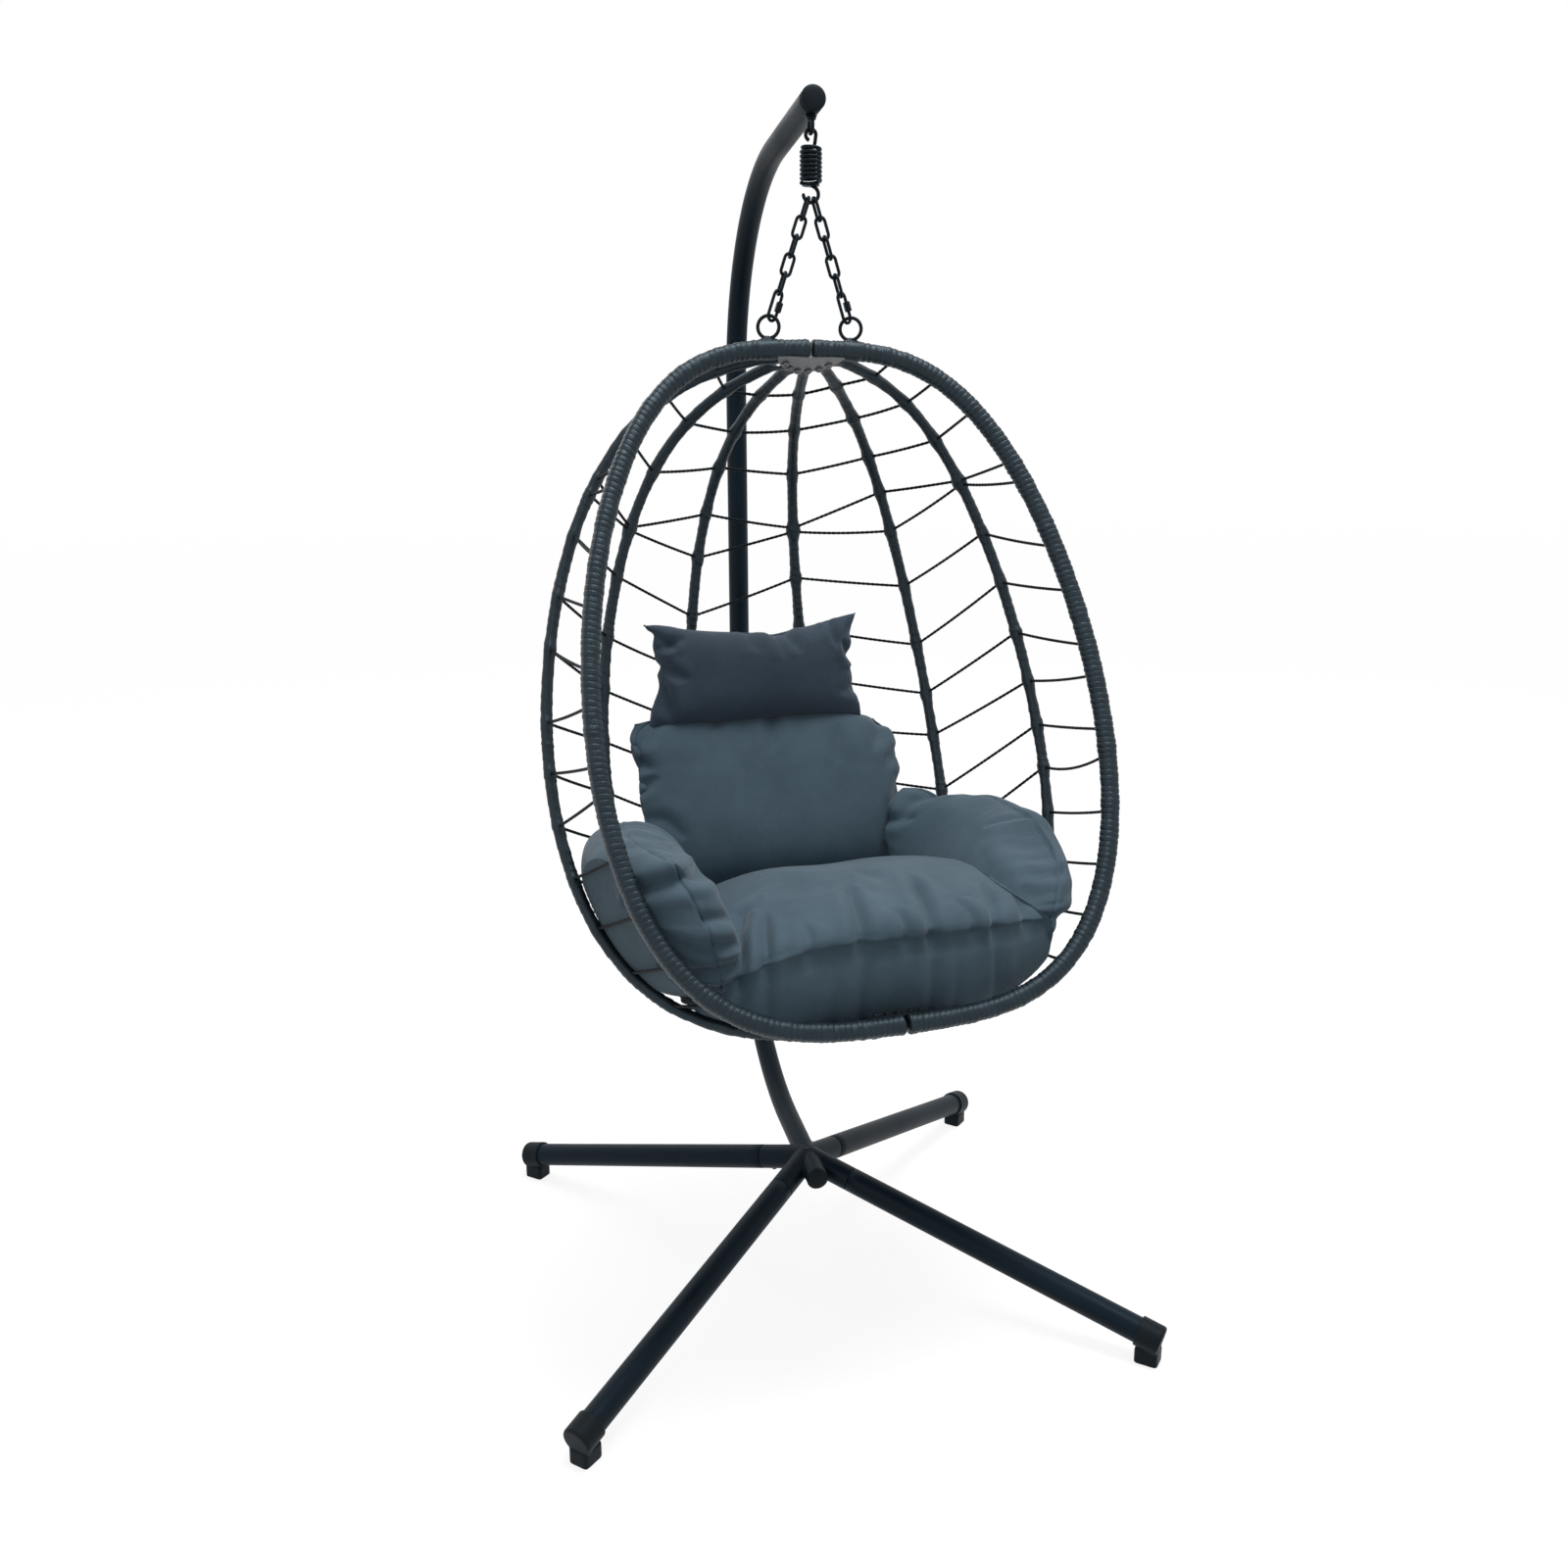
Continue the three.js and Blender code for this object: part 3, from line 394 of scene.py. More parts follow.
# A profile carried along a path: ring i is points[i] + radius (cos a side + sin a (tangent x side)).
# radius is a number, one per ring, or one per ring and side. turns counts strands for the UV map.
def sweep(points, side, radius, sides, closed=False, turns=None):
    p = np.asarray(points, float)
    rows = len(p)
    tangent = unit(np.roll(p, -1, 0) - np.roll(p, 1, 0) if closed else np.gradient(p, axis=0))
    side = np.broadcast_to(np.asarray(side, float), p.shape)
    side = unit(side - tangent * np.sum(side * tangent, -1, keepdims=True))
    other = np.cross(tangent, side)
    a = circle(sides)
    r = np.asarray(radius, float)
    r = np.broadcast_to(r[:, None] if r.ndim == 1 else r, (rows, sides))
    ring = np.cos(a)[None, :, None] * side[:, None, :] + np.sin(a)[None, :, None] * other[:, None, :]
    verts = p[:, None, :] + r[..., None] * ring
    if turns is None:
        turns = runOf(p) / 0.01
    u = np.broadcast_to(np.arange(sides + 1) / sides, (rows, sides + 1))
    v = np.asarray(turns)[:, None] + u
    i, j = np.meshgrid(np.arange(rows if closed else rows - 1), np.arange(sides), indexing="ij")
    i2 = (i + 1) % rows
    corners = (i, j), (i, j + 1), (i2, j + 1), (i2, j)
    uv = np.stack([np.stack([u[x, y], v[x, y]], -1) for x, y in corners], 2)
    return surfaceOf(verts, uv, closed)


# A profile of (radius, height) pairs turned round the line from a point along a direction.
def lathe(profile, at, direction, sides):
    profile = np.asarray(profile, float)
    direction = unit(direction)
    side = unit(np.cross(direction, zWay if abs(direction[2]) < 0.9 else xWay))
    other = np.cross(direction, side)
    a = circle(sides)
    ring = np.cos(a)[:, None] * side + np.sin(a)[:, None] * other
    out, high = profile[:, None, :1], profile[:, None, 1:]
    return surfaceOf(np.asarray(at, float) + high * direction + out * ring[None])


# One mesh from several surfaces, put into the frame as a piece that rides on a body.
def addPiece(name, surfaces, material, body, standsFor=(), sharp=None):
    verts, faces, uvs, base = [], [], [], 0
    for s in surfaces:
        verts.append(s["verts"])
        faces.extend((s["quads"] + base).tolist())
        uvs.append(s["uv"].reshape(-1, 2))
        for cap in s["caps"]:
            faces.append([k + base for k in cap])
            uvs.append(np.zeros((len(cap), 2)))
        base += len(s["verts"])
    mesh = bpy.data.meshes.new(name)
    mesh.from_pydata(np.concatenate(verts).tolist(), [], faces)
    # from_pydata keeps the faces' order, so the UV rows follow it surface by surface
    layer = mesh.uv_layers.new(name="UVMap")
    layer.data.foreach_set("uv", np.concatenate(uvs).astype(np.float32).ravel())
    mesh.materials.append(material)
    mesh.polygons.foreach_set("use_smooth", [True] * len(mesh.polygons))
    mesh.update()
    if sharp is not None:
        mesh.set_sharp_from_angle(angle=math.radians(sharp))
    piece = bpy.data.objects.new(name, mesh)
    bpy.context.scene.collection.objects.link(piece)
    return settle(piece, body, standsFor)


# Puts a piece on the body it rides on and hides the nodes it stands for.
def settle(piece, body, standsFor=()):
    if body:
        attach(piece, body)
    if standsFor:
        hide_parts(*standsFor)
    return piece


# Melts crossing closed shapes into one skin, with the inner corners rounded as by a weld.
def addMelted(name, surfaces, material, node, voxel):
    piece = addPiece(name, surfaces, material, None)
    remesh = piece.modifiers.new("skin", "REMESH")
    remesh.mode = "VOXEL"
    remesh.voxel_size = voxel
    remesh.use_smooth_shade = True
    soft = piece.modifiers.new("soften", "SMOOTH")
    soft.factor = 0.5
    soft.iterations = 4
    graph = bpy.context.evaluated_depsgraph_get()
    mesh = bpy.data.meshes.new_from_object(piece.evaluated_get(graph))
    old = piece.data
    piece.modifiers.clear()
    piece.data = mesh
    bpy.data.meshes.remove(old)
    mesh.materials.clear()
    mesh.materials.append(material)
    settle(piece, "stand", [node])


# Stand: a bent post in two lengths, four legs, and a plug in each end of the post.

stand = {
    "hubHeight": 0.199,
    "originBack": -0.033454,
    "slope": math.radians(6),
    "postRadius": 0.019,
    "postReach": 0.507,
    "postTop": 1.925,
    "lowerBend": 0.420,
    "upperBend": 0.360,
    "postSplit": 1.000,
    "nose": 0.068,
    "hangForward": 0.030,
    "endPast": 0.014,
    "legRadius": 0.021,
    "legSpread": 0.636,
    "legTurn": math.radians(46.4),
    "legEnd": 0.041,
    "stub": 0.090,
    "voxel": 0.0017,
    "step": 0.012,
    "seam": 0.0003,
    "chamfer": 0.0006,
}
hub = np.array([0.0, stand["originBack"], stand["hubHeight"]])
hangY = stand["originBack"] - stand["hangForward"]


# Points of an arc in the plane X = 0, about the point (y, z).
def bendAt(y, z, radius, a):
    return np.stack([a * 0, y + radius * np.cos(a), z + radius * np.sin(a)], -1)


# The post's middle line in the plane X = 0: a rising straight, a quarter bend, an upright, a
# second quarter bend and a rising straight, each bend at equal steps of angle.
def postLine(s):
    rise = math.tan(s["slope"])
    y0 = s["originBack"]
    start = [(0, y0 - s["nose"], s["hubHeight"] - s["nose"] * rise)]
    lowY = s["postReach"] - s["lowerBend"]
    lowZ = s["hubHeight"] + (lowY + s["lowerBend"] * math.sin(s["slope"])) * rise
    lowZ += s["lowerBend"] * math.cos(s["slope"])
    a = np.linspace(-math.pi / 2 + s["slope"], 0, 40)
    low = bendAt(y0 + lowY, lowZ, s["lowerBend"], a)
    endY = -s["hangForward"] - s["endPast"]
    highY = s["postReach"] - s["upperBend"]
    highZ = s["postTop"] - (highY + s["upperBend"] * math.sin(s["slope"]) - endY) * rise
    highZ -= s["upperBend"] * math.cos(s["slope"])
    a = np.linspace(0, math.pi / 2 - s["slope"], 40)
    high = bendAt(y0 + highY, highZ, s["upperBend"], a)
    split = np.array([[0, y0 + s["postReach"], s["postSplit"]]])
    end = np.array([[0, y0 + endY, s["postTop"]]])
    return np.concatenate([start, low, split]), np.concatenate([split, high, end])


# Straight stretches cut into equal steps, so that a tube's faces stay near square.
def refined(points, step):
    points = np.asarray(points, float)
    along = runOf(points)
    at = np.linspace(0, along[-1], max(2, int(round(along[-1] / step)) + 1))
    return np.stack([np.interp(at, along, points[:, k]) for k in range(3)], -1)


# The unit direction of a leg, out from the hub and down towards the floor.
def legWay(sideways, back):
    spread = np.array([sideways * math.sin(stand["legTurn"]), back * math.cos(stand["legTurn"]), 0])
    return unit(spread * stand["legSpread"] + np.array([0, 0, stand["legEnd"] - stand["hubHeight"]]))


legs = {
    "front_left": legWay(-1, -1),
    "front_right": legWay(1, -1),
    "back_right": legWay(1, 1),
    "back_left": legWay(-1, 1),
}
legLength = math.hypot(stand["legSpread"], stand["hubHeight"] - stand["legEnd"])
lowerLine, upperLine = postLine(stand)


# A straight tube with softly turned ends: the radius falls by the chamfer over its last stretch.
def tube(a, b, radius, sides, chamfer=0.0008, step=0.02):
    a, b = np.asarray(a, float), np.asarray(b, float)
    way = unit(b - a)
    length = np.linalg.norm(b - a)
    inner = np.linspace(chamfer, length - chamfer, max(2, int(length / step)))
    at = np.concatenate([[0], inner, [length]])
    radii = np.full(len(at), float(radius))
    radii[[0, -1]] -= chamfer
    side = np.cross(way, zWay) if abs(way[2]) < 0.9 else xWay
    return sweep(a + at[:, None] * way, side, radii, sides)


# The lower post and the leg stubs are melted together; the rest are plain tubes and turned plugs.
def addStand():
    r = stand["postRadius"]
    skin = [sweep(refined(lowerLine, stand["step"]), xWay, r, 48)]
    for way in legs.values():
        skin.append(tube(hub, hub + way * stand["stub"], stand["legRadius"], 40))
    addMelted("postLower", skin, paint["powderCoat"], "lower_post", stand["voxel"])
    upper = refined(upperLine, stand["step"])
    upper[0, 2] += stand["seam"]
    radii = np.full(len(upper), r)
    radii[[0, -1]] -= stand["chamfer"]
    tubing = [sweep(upper, xWay, radii, 64)]
    addPiece("postUpper", tubing, paint["powderCoat"], "stand", ["upper_post"])
    dome = [(0.0005, -0.009), (r - 0.0022, -0.009), (r - 0.0019, 0.0002), (r - 0.0002, 0.0003)]
    dome += [(r + 0.0001, 0.0010), (r - 0.0001, 0.0022), (r - 0.0010, 0.0034), (r - 0.0030, 0.0042)]
    dome += [(r * 0.6, 0.0049), (r * 0.3, 0.0053), (0.0004, 0.0054)]
    for name, line, node in (("Lower", lowerLine, "hub_plug"), ("Upper", upperLine[::-1], "top_plug")):
        plug = lathe(dome, line[0], unit(line[0] - line[1]), 48)
        addPiece("plug" + name, [plug], paint["blackPlastic"], "stand", [node], sharp=50)
    for place, way in legs.items():
        start = hub + way * (stand["stub"] + 0.0004)
        shape = [tube(start, hub + way * legLength, stand["legRadius"], 48, 0.0007)]
        addPiece("legTube_" + place, shape, paint["powderCoat"], "stand", ["leg_" + place])


# Feet: a cup round the end of a leg, melted into a chamfered block pad.

foot = {
    "cupWall": 0.0034,
    "cupDepth": 0.036,
    "padWide": 0.034,
    "padLong": 0.038,
    "padTall": 0.026,
    "screwBack": 0.016,
    "voxel": 0.0011,
}


# A box whose plan is a superellipse |x|^8 + |y|^8 = 1, with the top and bottom edges eased.
def roundedBlock(middle, lengthways, half, tall):
    a = circle(48)
    c, s = np.cos(a), np.sin(a)
    size = (np.abs(c) ** 8 + np.abs(s) ** 8) ** (-1 / 8)
    heights = np.array([0.0, 0.0006, 0.0020, tall - 0.002, tall])[:, None, None]
    inset = np.array([0.0016, 0.0005, 0.0, 0.0, 0.002])
    sideways = np.cross(zWay, lengthways)
    x = (half[0] - inset)[:, None] * (c * size)[None]
    y = (half[1] - inset)[:, None] * (s * size)[None]
    return surfaceOf(middle + x[..., None] * lengthways + y[..., None] * sideways + heights * zWay)


def addFeet():
    r = stand["legRadius"] + foot["cupWall"]
    a = np.linspace(0, math.pi / 2, 7)
    cup = [(r - 0.0012, -foot["cupDepth"]), (r, -foot["cupDepth"] + 0.0012)]
    cup += list(zip(r - 0.0045 + 0.0045 * np.cos(a), -0.0007 + 0.0045 * np.sin(a)))
    cup += [(0.0005, 0.0040)]
    half = (foot["padLong"] / 2, foot["padWide"] / 2)
    # the screw's pan head, with a sunk middle
    head = [(0.0022, -0.0040), (0.0022, -0.0002), (0.0046, 0.0), (0.0047, 0.0008), (0.0043, 0.0019)]
    head += [(0.0032, 0.0027), (0.0018, 0.0030), (0.0016, 0.0016), (0.0003, 0.0012)]
    under = stand["legRadius"] + 0.0002
    for place, way in legs.items():
        end = hub + way * legLength
        middle = hub + way * (legLength - foot["cupDepth"] / 2)
        middle[2] = 0.0
        pad = roundedBlock(middle, unit(np.array([way[0], way[1], 0])), half, foot["padTall"])
        parts = [lathe(cup, end, way, 56), pad]
        name, node = "footCup_" + place, "foot_cap_" + place
        addMelted(name, parts, paint["blackPlastic"], node, foot["voxel"])
        down = unit(np.cross(unit(np.cross(zWay, way)), way))
        down = -down if down[2] > 0 else down
        at = hub + way * (stand["stub"] - foot["screwBack"]) + down * under
        name, node = "screw_" + place, "leg_screw_" + place
        screw = [lathe(head, at, down, 28)]
        addPiece(name, screw, paint["darkPaint"], "stand", [node], sharp=40)


addStand()
print("stand made")
addFeet()
print("feet made")

# Hanger: eye, spring, hook, chains, quick links and rings.

hanger = {
    "eyeWire": 0.003,
    "eyeRadius": 0.010,
    "eyeDrop": 0.005,
    "springWire": 0.0028,
    "springRadius": 0.0142,
    "springTop": 1.866,
    "springBottom": 1.808,
    "springTurns": 8.5,
    "topHook": 0.008,
    "hookRadius": 0.012,
    "hookHeight": 1.795,
    "linkWire": 0.0025,
    "linkWidth": 0.015,
    "linkCount": 5,
    "quickWire": 0.00275,
    "quickWidth": 0.017,
    "quickLength": 0.046,
    "quickTurn": math.radians(30),
    "ringTurn": math.radians(-30),
    "ringWire": 0.003,
    "ringRadius": 0.0165,
    "ringSpacing": 0.134,
    "wireEase": 0.00025,
    "ringSeat": 0.0014,
    "sleeveHalf": 0.0047,
    "sleeveLong": 0.015,
    "threadPitch": 0.0013,
    "nutHalf": 0.0070,
    "basketTurn": math.radians(4.3),
}
fitGap = 0.0003
basket = {
    "height": 1.572,
    "setback": 0.005,
    "lean": math.radians(23),
    "length": 1.033,
    "reaches": [0.403, 0.480, 0.490, 0.516, 0.516, 0.500, 0.460, 0.403],
    "skew": math.radians(2.3),
    "rimRadius": 0.0135,
    "ribRadius": 0.0095,
    "split": 0.004,
}
hangPoint = np.array([0.0, hangY, 0.0])


# From the sling's own frame, turned about the upright through the hanging point, to the row frame.
def fromSling(points):
    return turned(points, zWay, hanger["basketTurn"]) + hangPoint


# From the basket's leaning frame to the row frame.
def fromBasket(points):
    leaning = turned(points, xWay, -basket["lean"])
    return fromSling(leaning + np.array([0.0, basket["setback"], basket["height"]]))


# Points straight above the hanging point at the given heights.
def upright(z):
    return np.stack([z * 0, z * 0 + hangY, z], -1)


# The eye, its threaded stem, the six-sided nut and a washer. Gives the height of the eye's middle.
def addEye(h):
    eyeTop = stand["postTop"] - stand["endPast"] * math.tan(stand["slope"])
    centre = eyeTop - stand["postRadius"] - h["eyeDrop"] - h["eyeRadius"]
    a = circle(40)
    ring = bendAt(hangY, centre, h["eyeRadius"], a)
    parts = [sweep(ring, xWay, h["eyeWire"], 16, closed=True)]
    # the threaded stem: its radius rises and falls once for each turn of the thread
    z = np.linspace(centre + h["eyeRadius"], eyeTop - 0.006, 60)
    thread = 0.0036 + 0.0003 * np.sin(z * 2 * math.pi / h["threadPitch"])
    parts.append(sweep(upright(z), xWay, thread, 20))
    nutTop = eyeTop - stand["postRadius"] - fitGap - 0.008 * math.tan(stand["slope"])
    hexed = hexagon(circle(36), h["nutHalf"])
    nut = np.stack([hexed * 0.93, hexed, hexed, hexed * 0.94])
    nutLine = upright(nutTop - np.array([0.0055, 0.0050, 0.0012, 0.0006]))
    parts.append(sweep(nutLine, xWay, nut, 36))
    washer = [(0.0041, -0.0006), (0.0092, -0.0006), (0.0094, -0.0001)]
    washer += [(0.0092, 0.0003), (0.0041, 0.0003)]
    parts.append(lathe(washer, (0, hangY, nutTop), zWay, 40))
    addPiece("eyeBolt", parts, paint["darkPaint"], "eye", ["hanging_eye"], sharp=35)
    return centre


# The coil's wire: half a hook over the eye, a short lead-in, then a close helix. It is one line of
# points, hook + helix, smoothed where the two meet. The swept side turns from Y to Z on the way.
def addSpring(h, eyeCentre):
    top = eyeCentre - h["eyeRadius"] + h["eyeWire"] + fitGap + h["springWire"] - h["topHook"]
    a = np.radians(np.linspace(-160, 128, 30))
    hook = np.stack([h["topHook"] * np.sin(a), a * 0, top + h["topHook"] * np.cos(a)], -1)
    high, low = h["springTop"] - h["springWire"], h["springBottom"] + h["springWire"]
    t = np.linspace(0, 1, int(h["springTurns"] * 28))
    b = 2 * math.pi * h["springTurns"] * t
    swell = h["springRadius"] * (1 - 0.45 * np.exp(-t * 26))
    coil = np.stack([swell * np.cos(b), swell * np.sin(b), high + (low - high) * t], -1)
    line = np.concatenate([hook, coil[2:]])
    for _ in range(3):
        line[24:40] = (line[23:39] + line[25:41] + line[24:40]) / 3
    turning = np.clip((np.arange(len(line)) - 22) / 16, 0, 1)[:, None]
    side = yWay * (1 - turning) + zWay * turning
    wire = [sweep(line + hangPoint, side, h["springWire"], 14)]
    piece = addPiece("springCoil", wire, paint["darkPaint"], None, ["spring"])
    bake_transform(piece)


# The hook under the spring: a short stem, then an arc of 250 degrees, and the spring's end disc.
def addHook(h):
    stem = np.array([[0, 0, h["springBottom"] + 0.001], [0, 0, h["springBottom"] - 0.001]])
    a = np.radians(np.linspace(25, 275, 44))
    x, z = h["hookRadius"] * np.sin(a), h["hookHeight"] + h["hookRadius"] * np.cos(a)
    bow = np.stack([x, a * 0, z], -1)
    line = refined(np.concatenate([stem, bow]), 0.0016)
    for _ in range(4):
        line[1:-1] = (line[:-2] + line[1:-1] + line[2:]) / 3
    radii = np.full(len(line), h["springWire"])
    radii[-2:] *= (0.85, 0.45)
    parts = [sweep(line + hangPoint, yWay, radii, 16)]
    r = h["springRadius"]
    disc = [(0.001, -0.0016), (r - 0.001, -0.0012), (r - 0.0012, 0.0), (r - 0.002, 0.0008)]
    disc += [(r - 0.0035, 0.0014), (0.001, 0.0014)]
    parts.append(lathe(disc, (0, hangY, h["springBottom"]), zWay, 40))
    addPiece("lowerHook", parts, paint["darkPaint"], "hook", ["spring_hook"])


# A long loop: two half rounds joined by straights, in its own XZ plane, from z = 0 to z = -length.
def loopLine(length, width):
    r = width / 2
    a = np.linspace(0, math.pi, 15)
    upper = np.stack([r * np.cos(a), a * 0, -r + r * np.sin(a)], -1)
    b = a + math.pi
    lower = np.stack([r * np.cos(b), b * 0, r - length + r * np.sin(b)], -1)
    return np.concatenate([upper, lower])


# One chain from the hook to a ring: links turned by a quarter against each other, the quick link
# with its sleeve, and the ring on the rim. hookSide and ringSide are where they hang on the wire.
def addChain(h, side, place):
    hookSide, ringSide = math.radians(30), math.radians(20)
    ringZ = basket["height"] + basket["rimRadius"] + h["ringRadius"] + h["ringWire"]
    ringZ += fitGap - h["ringSeat"]
    hookZ = h["hookHeight"] - h["hookRadius"] * math.cos(hookSide)
    hookAt = np.array([side * h["hookRadius"] * math.sin(hookSide), 0, hookZ])
    inward = -side * h["ringRadius"] * math.sin(ringSide)
    ringAt = np.array([
        side * h["ringSpacing"] / 2 + inward * math.cos(h["ringTurn"]),
        basket["setback"] + inward * math.sin(h["ringTurn"]),
        ringZ + h["ringRadius"] * math.cos(ringSide),
    ])
    distance = np.linalg.norm(ringAt - hookAt)
    down = unit(ringAt - hookAt)
    hookSeat = h["springWire"] + h["linkWire"] + 2 * fitGap
    linkSeat = 2 * h["linkWire"] + fitGap
    quickSeat = h["linkWire"] + h["quickWire"] + 3 * fitGap
    ringSeat = h["quickWire"] + h["ringWire"] + 3 * fitGap
    seats = (h["linkCount"] - 1) * linkSeat + quickSeat
    linkLong = (distance + hookSeat + ringSeat + seats - h["quickLength"]) / h["linkCount"]
    start = hookAt - down * hookSeat

    def placed(points, z, turn):
        spun = turned(points, zWay, turn) + np.array([0, 0, z])
        return fromSling(carried(spun, (0.0, 0.0, -1.0), down) + start)

    def sideOf(z, turn):
        flat = placed(np.array([[0.0, 0, 0], [0.0, 1.0, 0]]), z, turn)
        return flat[1] - flat[0]

    z = 0.0
    for i in range(h["linkCount"]):
        turn = math.pi / 2 if i % 2 == 0 else 0.0
        line = placed(loopLine(linkLong, h["linkWidth"]), z, turn)
        link = [sweep(line, sideOf(z, turn), h["linkWire"], 16, closed=True)]
        name = f"link_{place}_{i + 1}"
        addPiece(name, link, paint["darkPaint"], "sling", ["chain_" + name])
        z -= linkLong - linkSeat
    z += quickSeat - linkSeat
    side2 = sideOf(z, h["quickTurn"])
    line = placed(loopLine(h["quickLength"], h["quickWidth"]), z, h["quickTurn"])
    quick = [sweep(line, side2, h["quickWire"] - h["wireEase"], 18, closed=True)]
    node = "quick_link_" + place
    addPiece("quickLink_" + place, quick, paint["darkPaint"], "sling", [node])
    # the six-sided sleeve of the quick link, chamfered at both ends
    middle, half = -h["quickLength"] / 2, h["sleeveLong"] / 2
    ends = np.array([[h["quickWidth"] / 2, 0, middle + half], [h["quickWidth"] / 2, 0, middle - half]])
    a, b = placed(ends, z, h["quickTurn"])
    t = np.array([0.0, 0.06, 0.94, 1.0])[:, None]
    hexed = hexagon(circle(36), h["sleeveHalf"])
    radii = np.stack([hexed * 0.86, hexed, hexed, hexed * 0.86])
    sleeve = [sweep(a + t * (b - a), side2, radii, 36)]
    node, body = "link_sleeve_" + place, "sleeve_" + place
    addPiece(body, sleeve, paint["darkPaint"], body, [node], sharp=25)
    angle = circle(48)
    ring = np.stack([h["ringRadius"] * np.cos(angle), angle * 0, h["ringRadius"] * np.sin(angle)], -1)
    ring = turned(ring, zWay, h["ringTurn"])
    ring = ring + np.array([side * h["ringSpacing"] / 2, basket["setback"], ringZ])
    flat = turned([[0.0, 1.0, 0.0]], zWay, h["ringTurn"] + h["basketTurn"])[0]
    hoop = [sweep(fromSling(ring), flat, h["ringWire"] - h["wireEase"], 18, closed=True)]
    addPiece("ring_" + place, hoop, paint["darkPaint"], "basket", ["hanging_ring_" + place])


eyeCentre = addEye(hanger)
addSpring(hanger, eyeCentre)
addHook(hanger)
addChain(hanger, -1, "left")
addChain(hanger, 1, "right")
print("hanger made")

# Basket: wicker-wound rims and ribs.

wicker = {
    "tabStart": 0.036,
    "tabDrop": 0.0098,
    "rimPitch": 0.0088,
    "ribPitch": 0.017,
    "rimCore": 0.0126,
    "ribCore": 0.0086,
    "lashing": 0.068,
    "laceEnd": 0.165,
    "laceNext": (84, 93, 86, 93, 86, 93, 84, 84),
    "laceRows": (
        (141, 217, 292, 393, 430, 546, 621, 712, 761, 848, 889, 978),
        (150, 235, 320, 405, 432, 500, 599, 683, 797, 875, 957, 1039, 1122, 1204, 1280),
        (161, 245, 344, 442, 447, 526, 628, 717, 803, 889),
        (150, 243, 316, 403, 481, 585, 684, 778, 868),
        (144, 236, 328, 429, 436, 520, 610, 700),
        (136, 229, 314, 383, 456, 558, 666, 756, 833, 934),
        (148, 229, 313, 393, 400, 491, 580, 670, 756, 833, 908, 986),
        (141, 217, 292, 393, 430, 546, 621, 712, 761, 848, 889, 978),
    ),
    "laceCord": 0.0023,
    "lay": 0.0085,
    "slackCord": (6, 10),
    "slackSag": 0.011,
    "ringAt": 0.0675,
    "ringHump": 0.0062,
}
barCount = len(basket["reaches"])


def isRim(index):
    return index in (0, barCount - 1)


# The bars' angles round the basket, from the left rim at half a turn to the right rim at 0.
def barAngle(index):
    return math.pi - math.pi * index / (barCount - 1) + (0 if isRim(index) else basket["skew"])


# The egg's outline, t from 0 at the top to 1 at the bottom:
# out = 0.985 reach sin(pi t)^0.62 (1 - 0.1 cos pi t), down = length (1 - cos pi t) / 2.
def eggOutline(t, reach):
    a = math.pi * np.asarray(t, float)
    out = reach * 0.985 * np.maximum(np.sin(a), 0) ** 0.62 * (1 - 0.1 * np.cos(a))
    return out, -basket["length"] / 2 * (1 - np.cos(a))


# Points along one bar at the given distances from the top, in the basket's own frame.
def alongBar(index, distances):
    half = np.concatenate([np.linspace(0, 0.001, 400), np.linspace(0.001, 0.03, 1500)[1:]])
    t = np.unique(np.concatenate([half, np.linspace(0.03, 0.97, 3000)[1:], 1 - half[::-1]]))
    out, z = eggOutline(t, basket["reaches"][index])
    run = np.concatenate([[0], np.cumsum(np.hypot(np.diff(out), np.diff(z)))])
    d = np.asarray(distances, float)
    out, z = np.interp(d, run, out), np.interp(d, run, z)
    a = barAngle(index)
    return np.stack([out * math.cos(a), out * math.sin(a), z], -1)


# The sum of short straight steps along the outline.
def barLength(index):
    out, z = eggOutline(np.linspace(0, 1, 20001), basket["reaches"][index])
    return float(np.sum(np.hypot(np.diff(out), np.diff(z))))


# A direction of the basket's own frame, as the world has it.
def basketWay(way):
    ends = fromBasket(np.array([[0.0, 0, 0], way], float))
    return ends[1] - ends[0]


# The distances from the top at which the lacing meets a bar: the listed ones, in millimetres,
# then equal steps down to the last cord.
def laceRows(index):
    rows = [row / 1000 for row in wicker["laceRows"][index]]
    step = wicker["laceNext"][index] / 1000
    while rows[-1] + step < barLength(index) - wicker["laceEnd"]:
        rows.append(rows[-1] + step)
    return rows


# A smooth random curve through the given number of knots, one value for each s in 0..1.
def wander(rng, s, knots, size):
    values = rng.normal(0, size, knots)
    return np.interp(s, np.linspace(0, 1, knots), values)


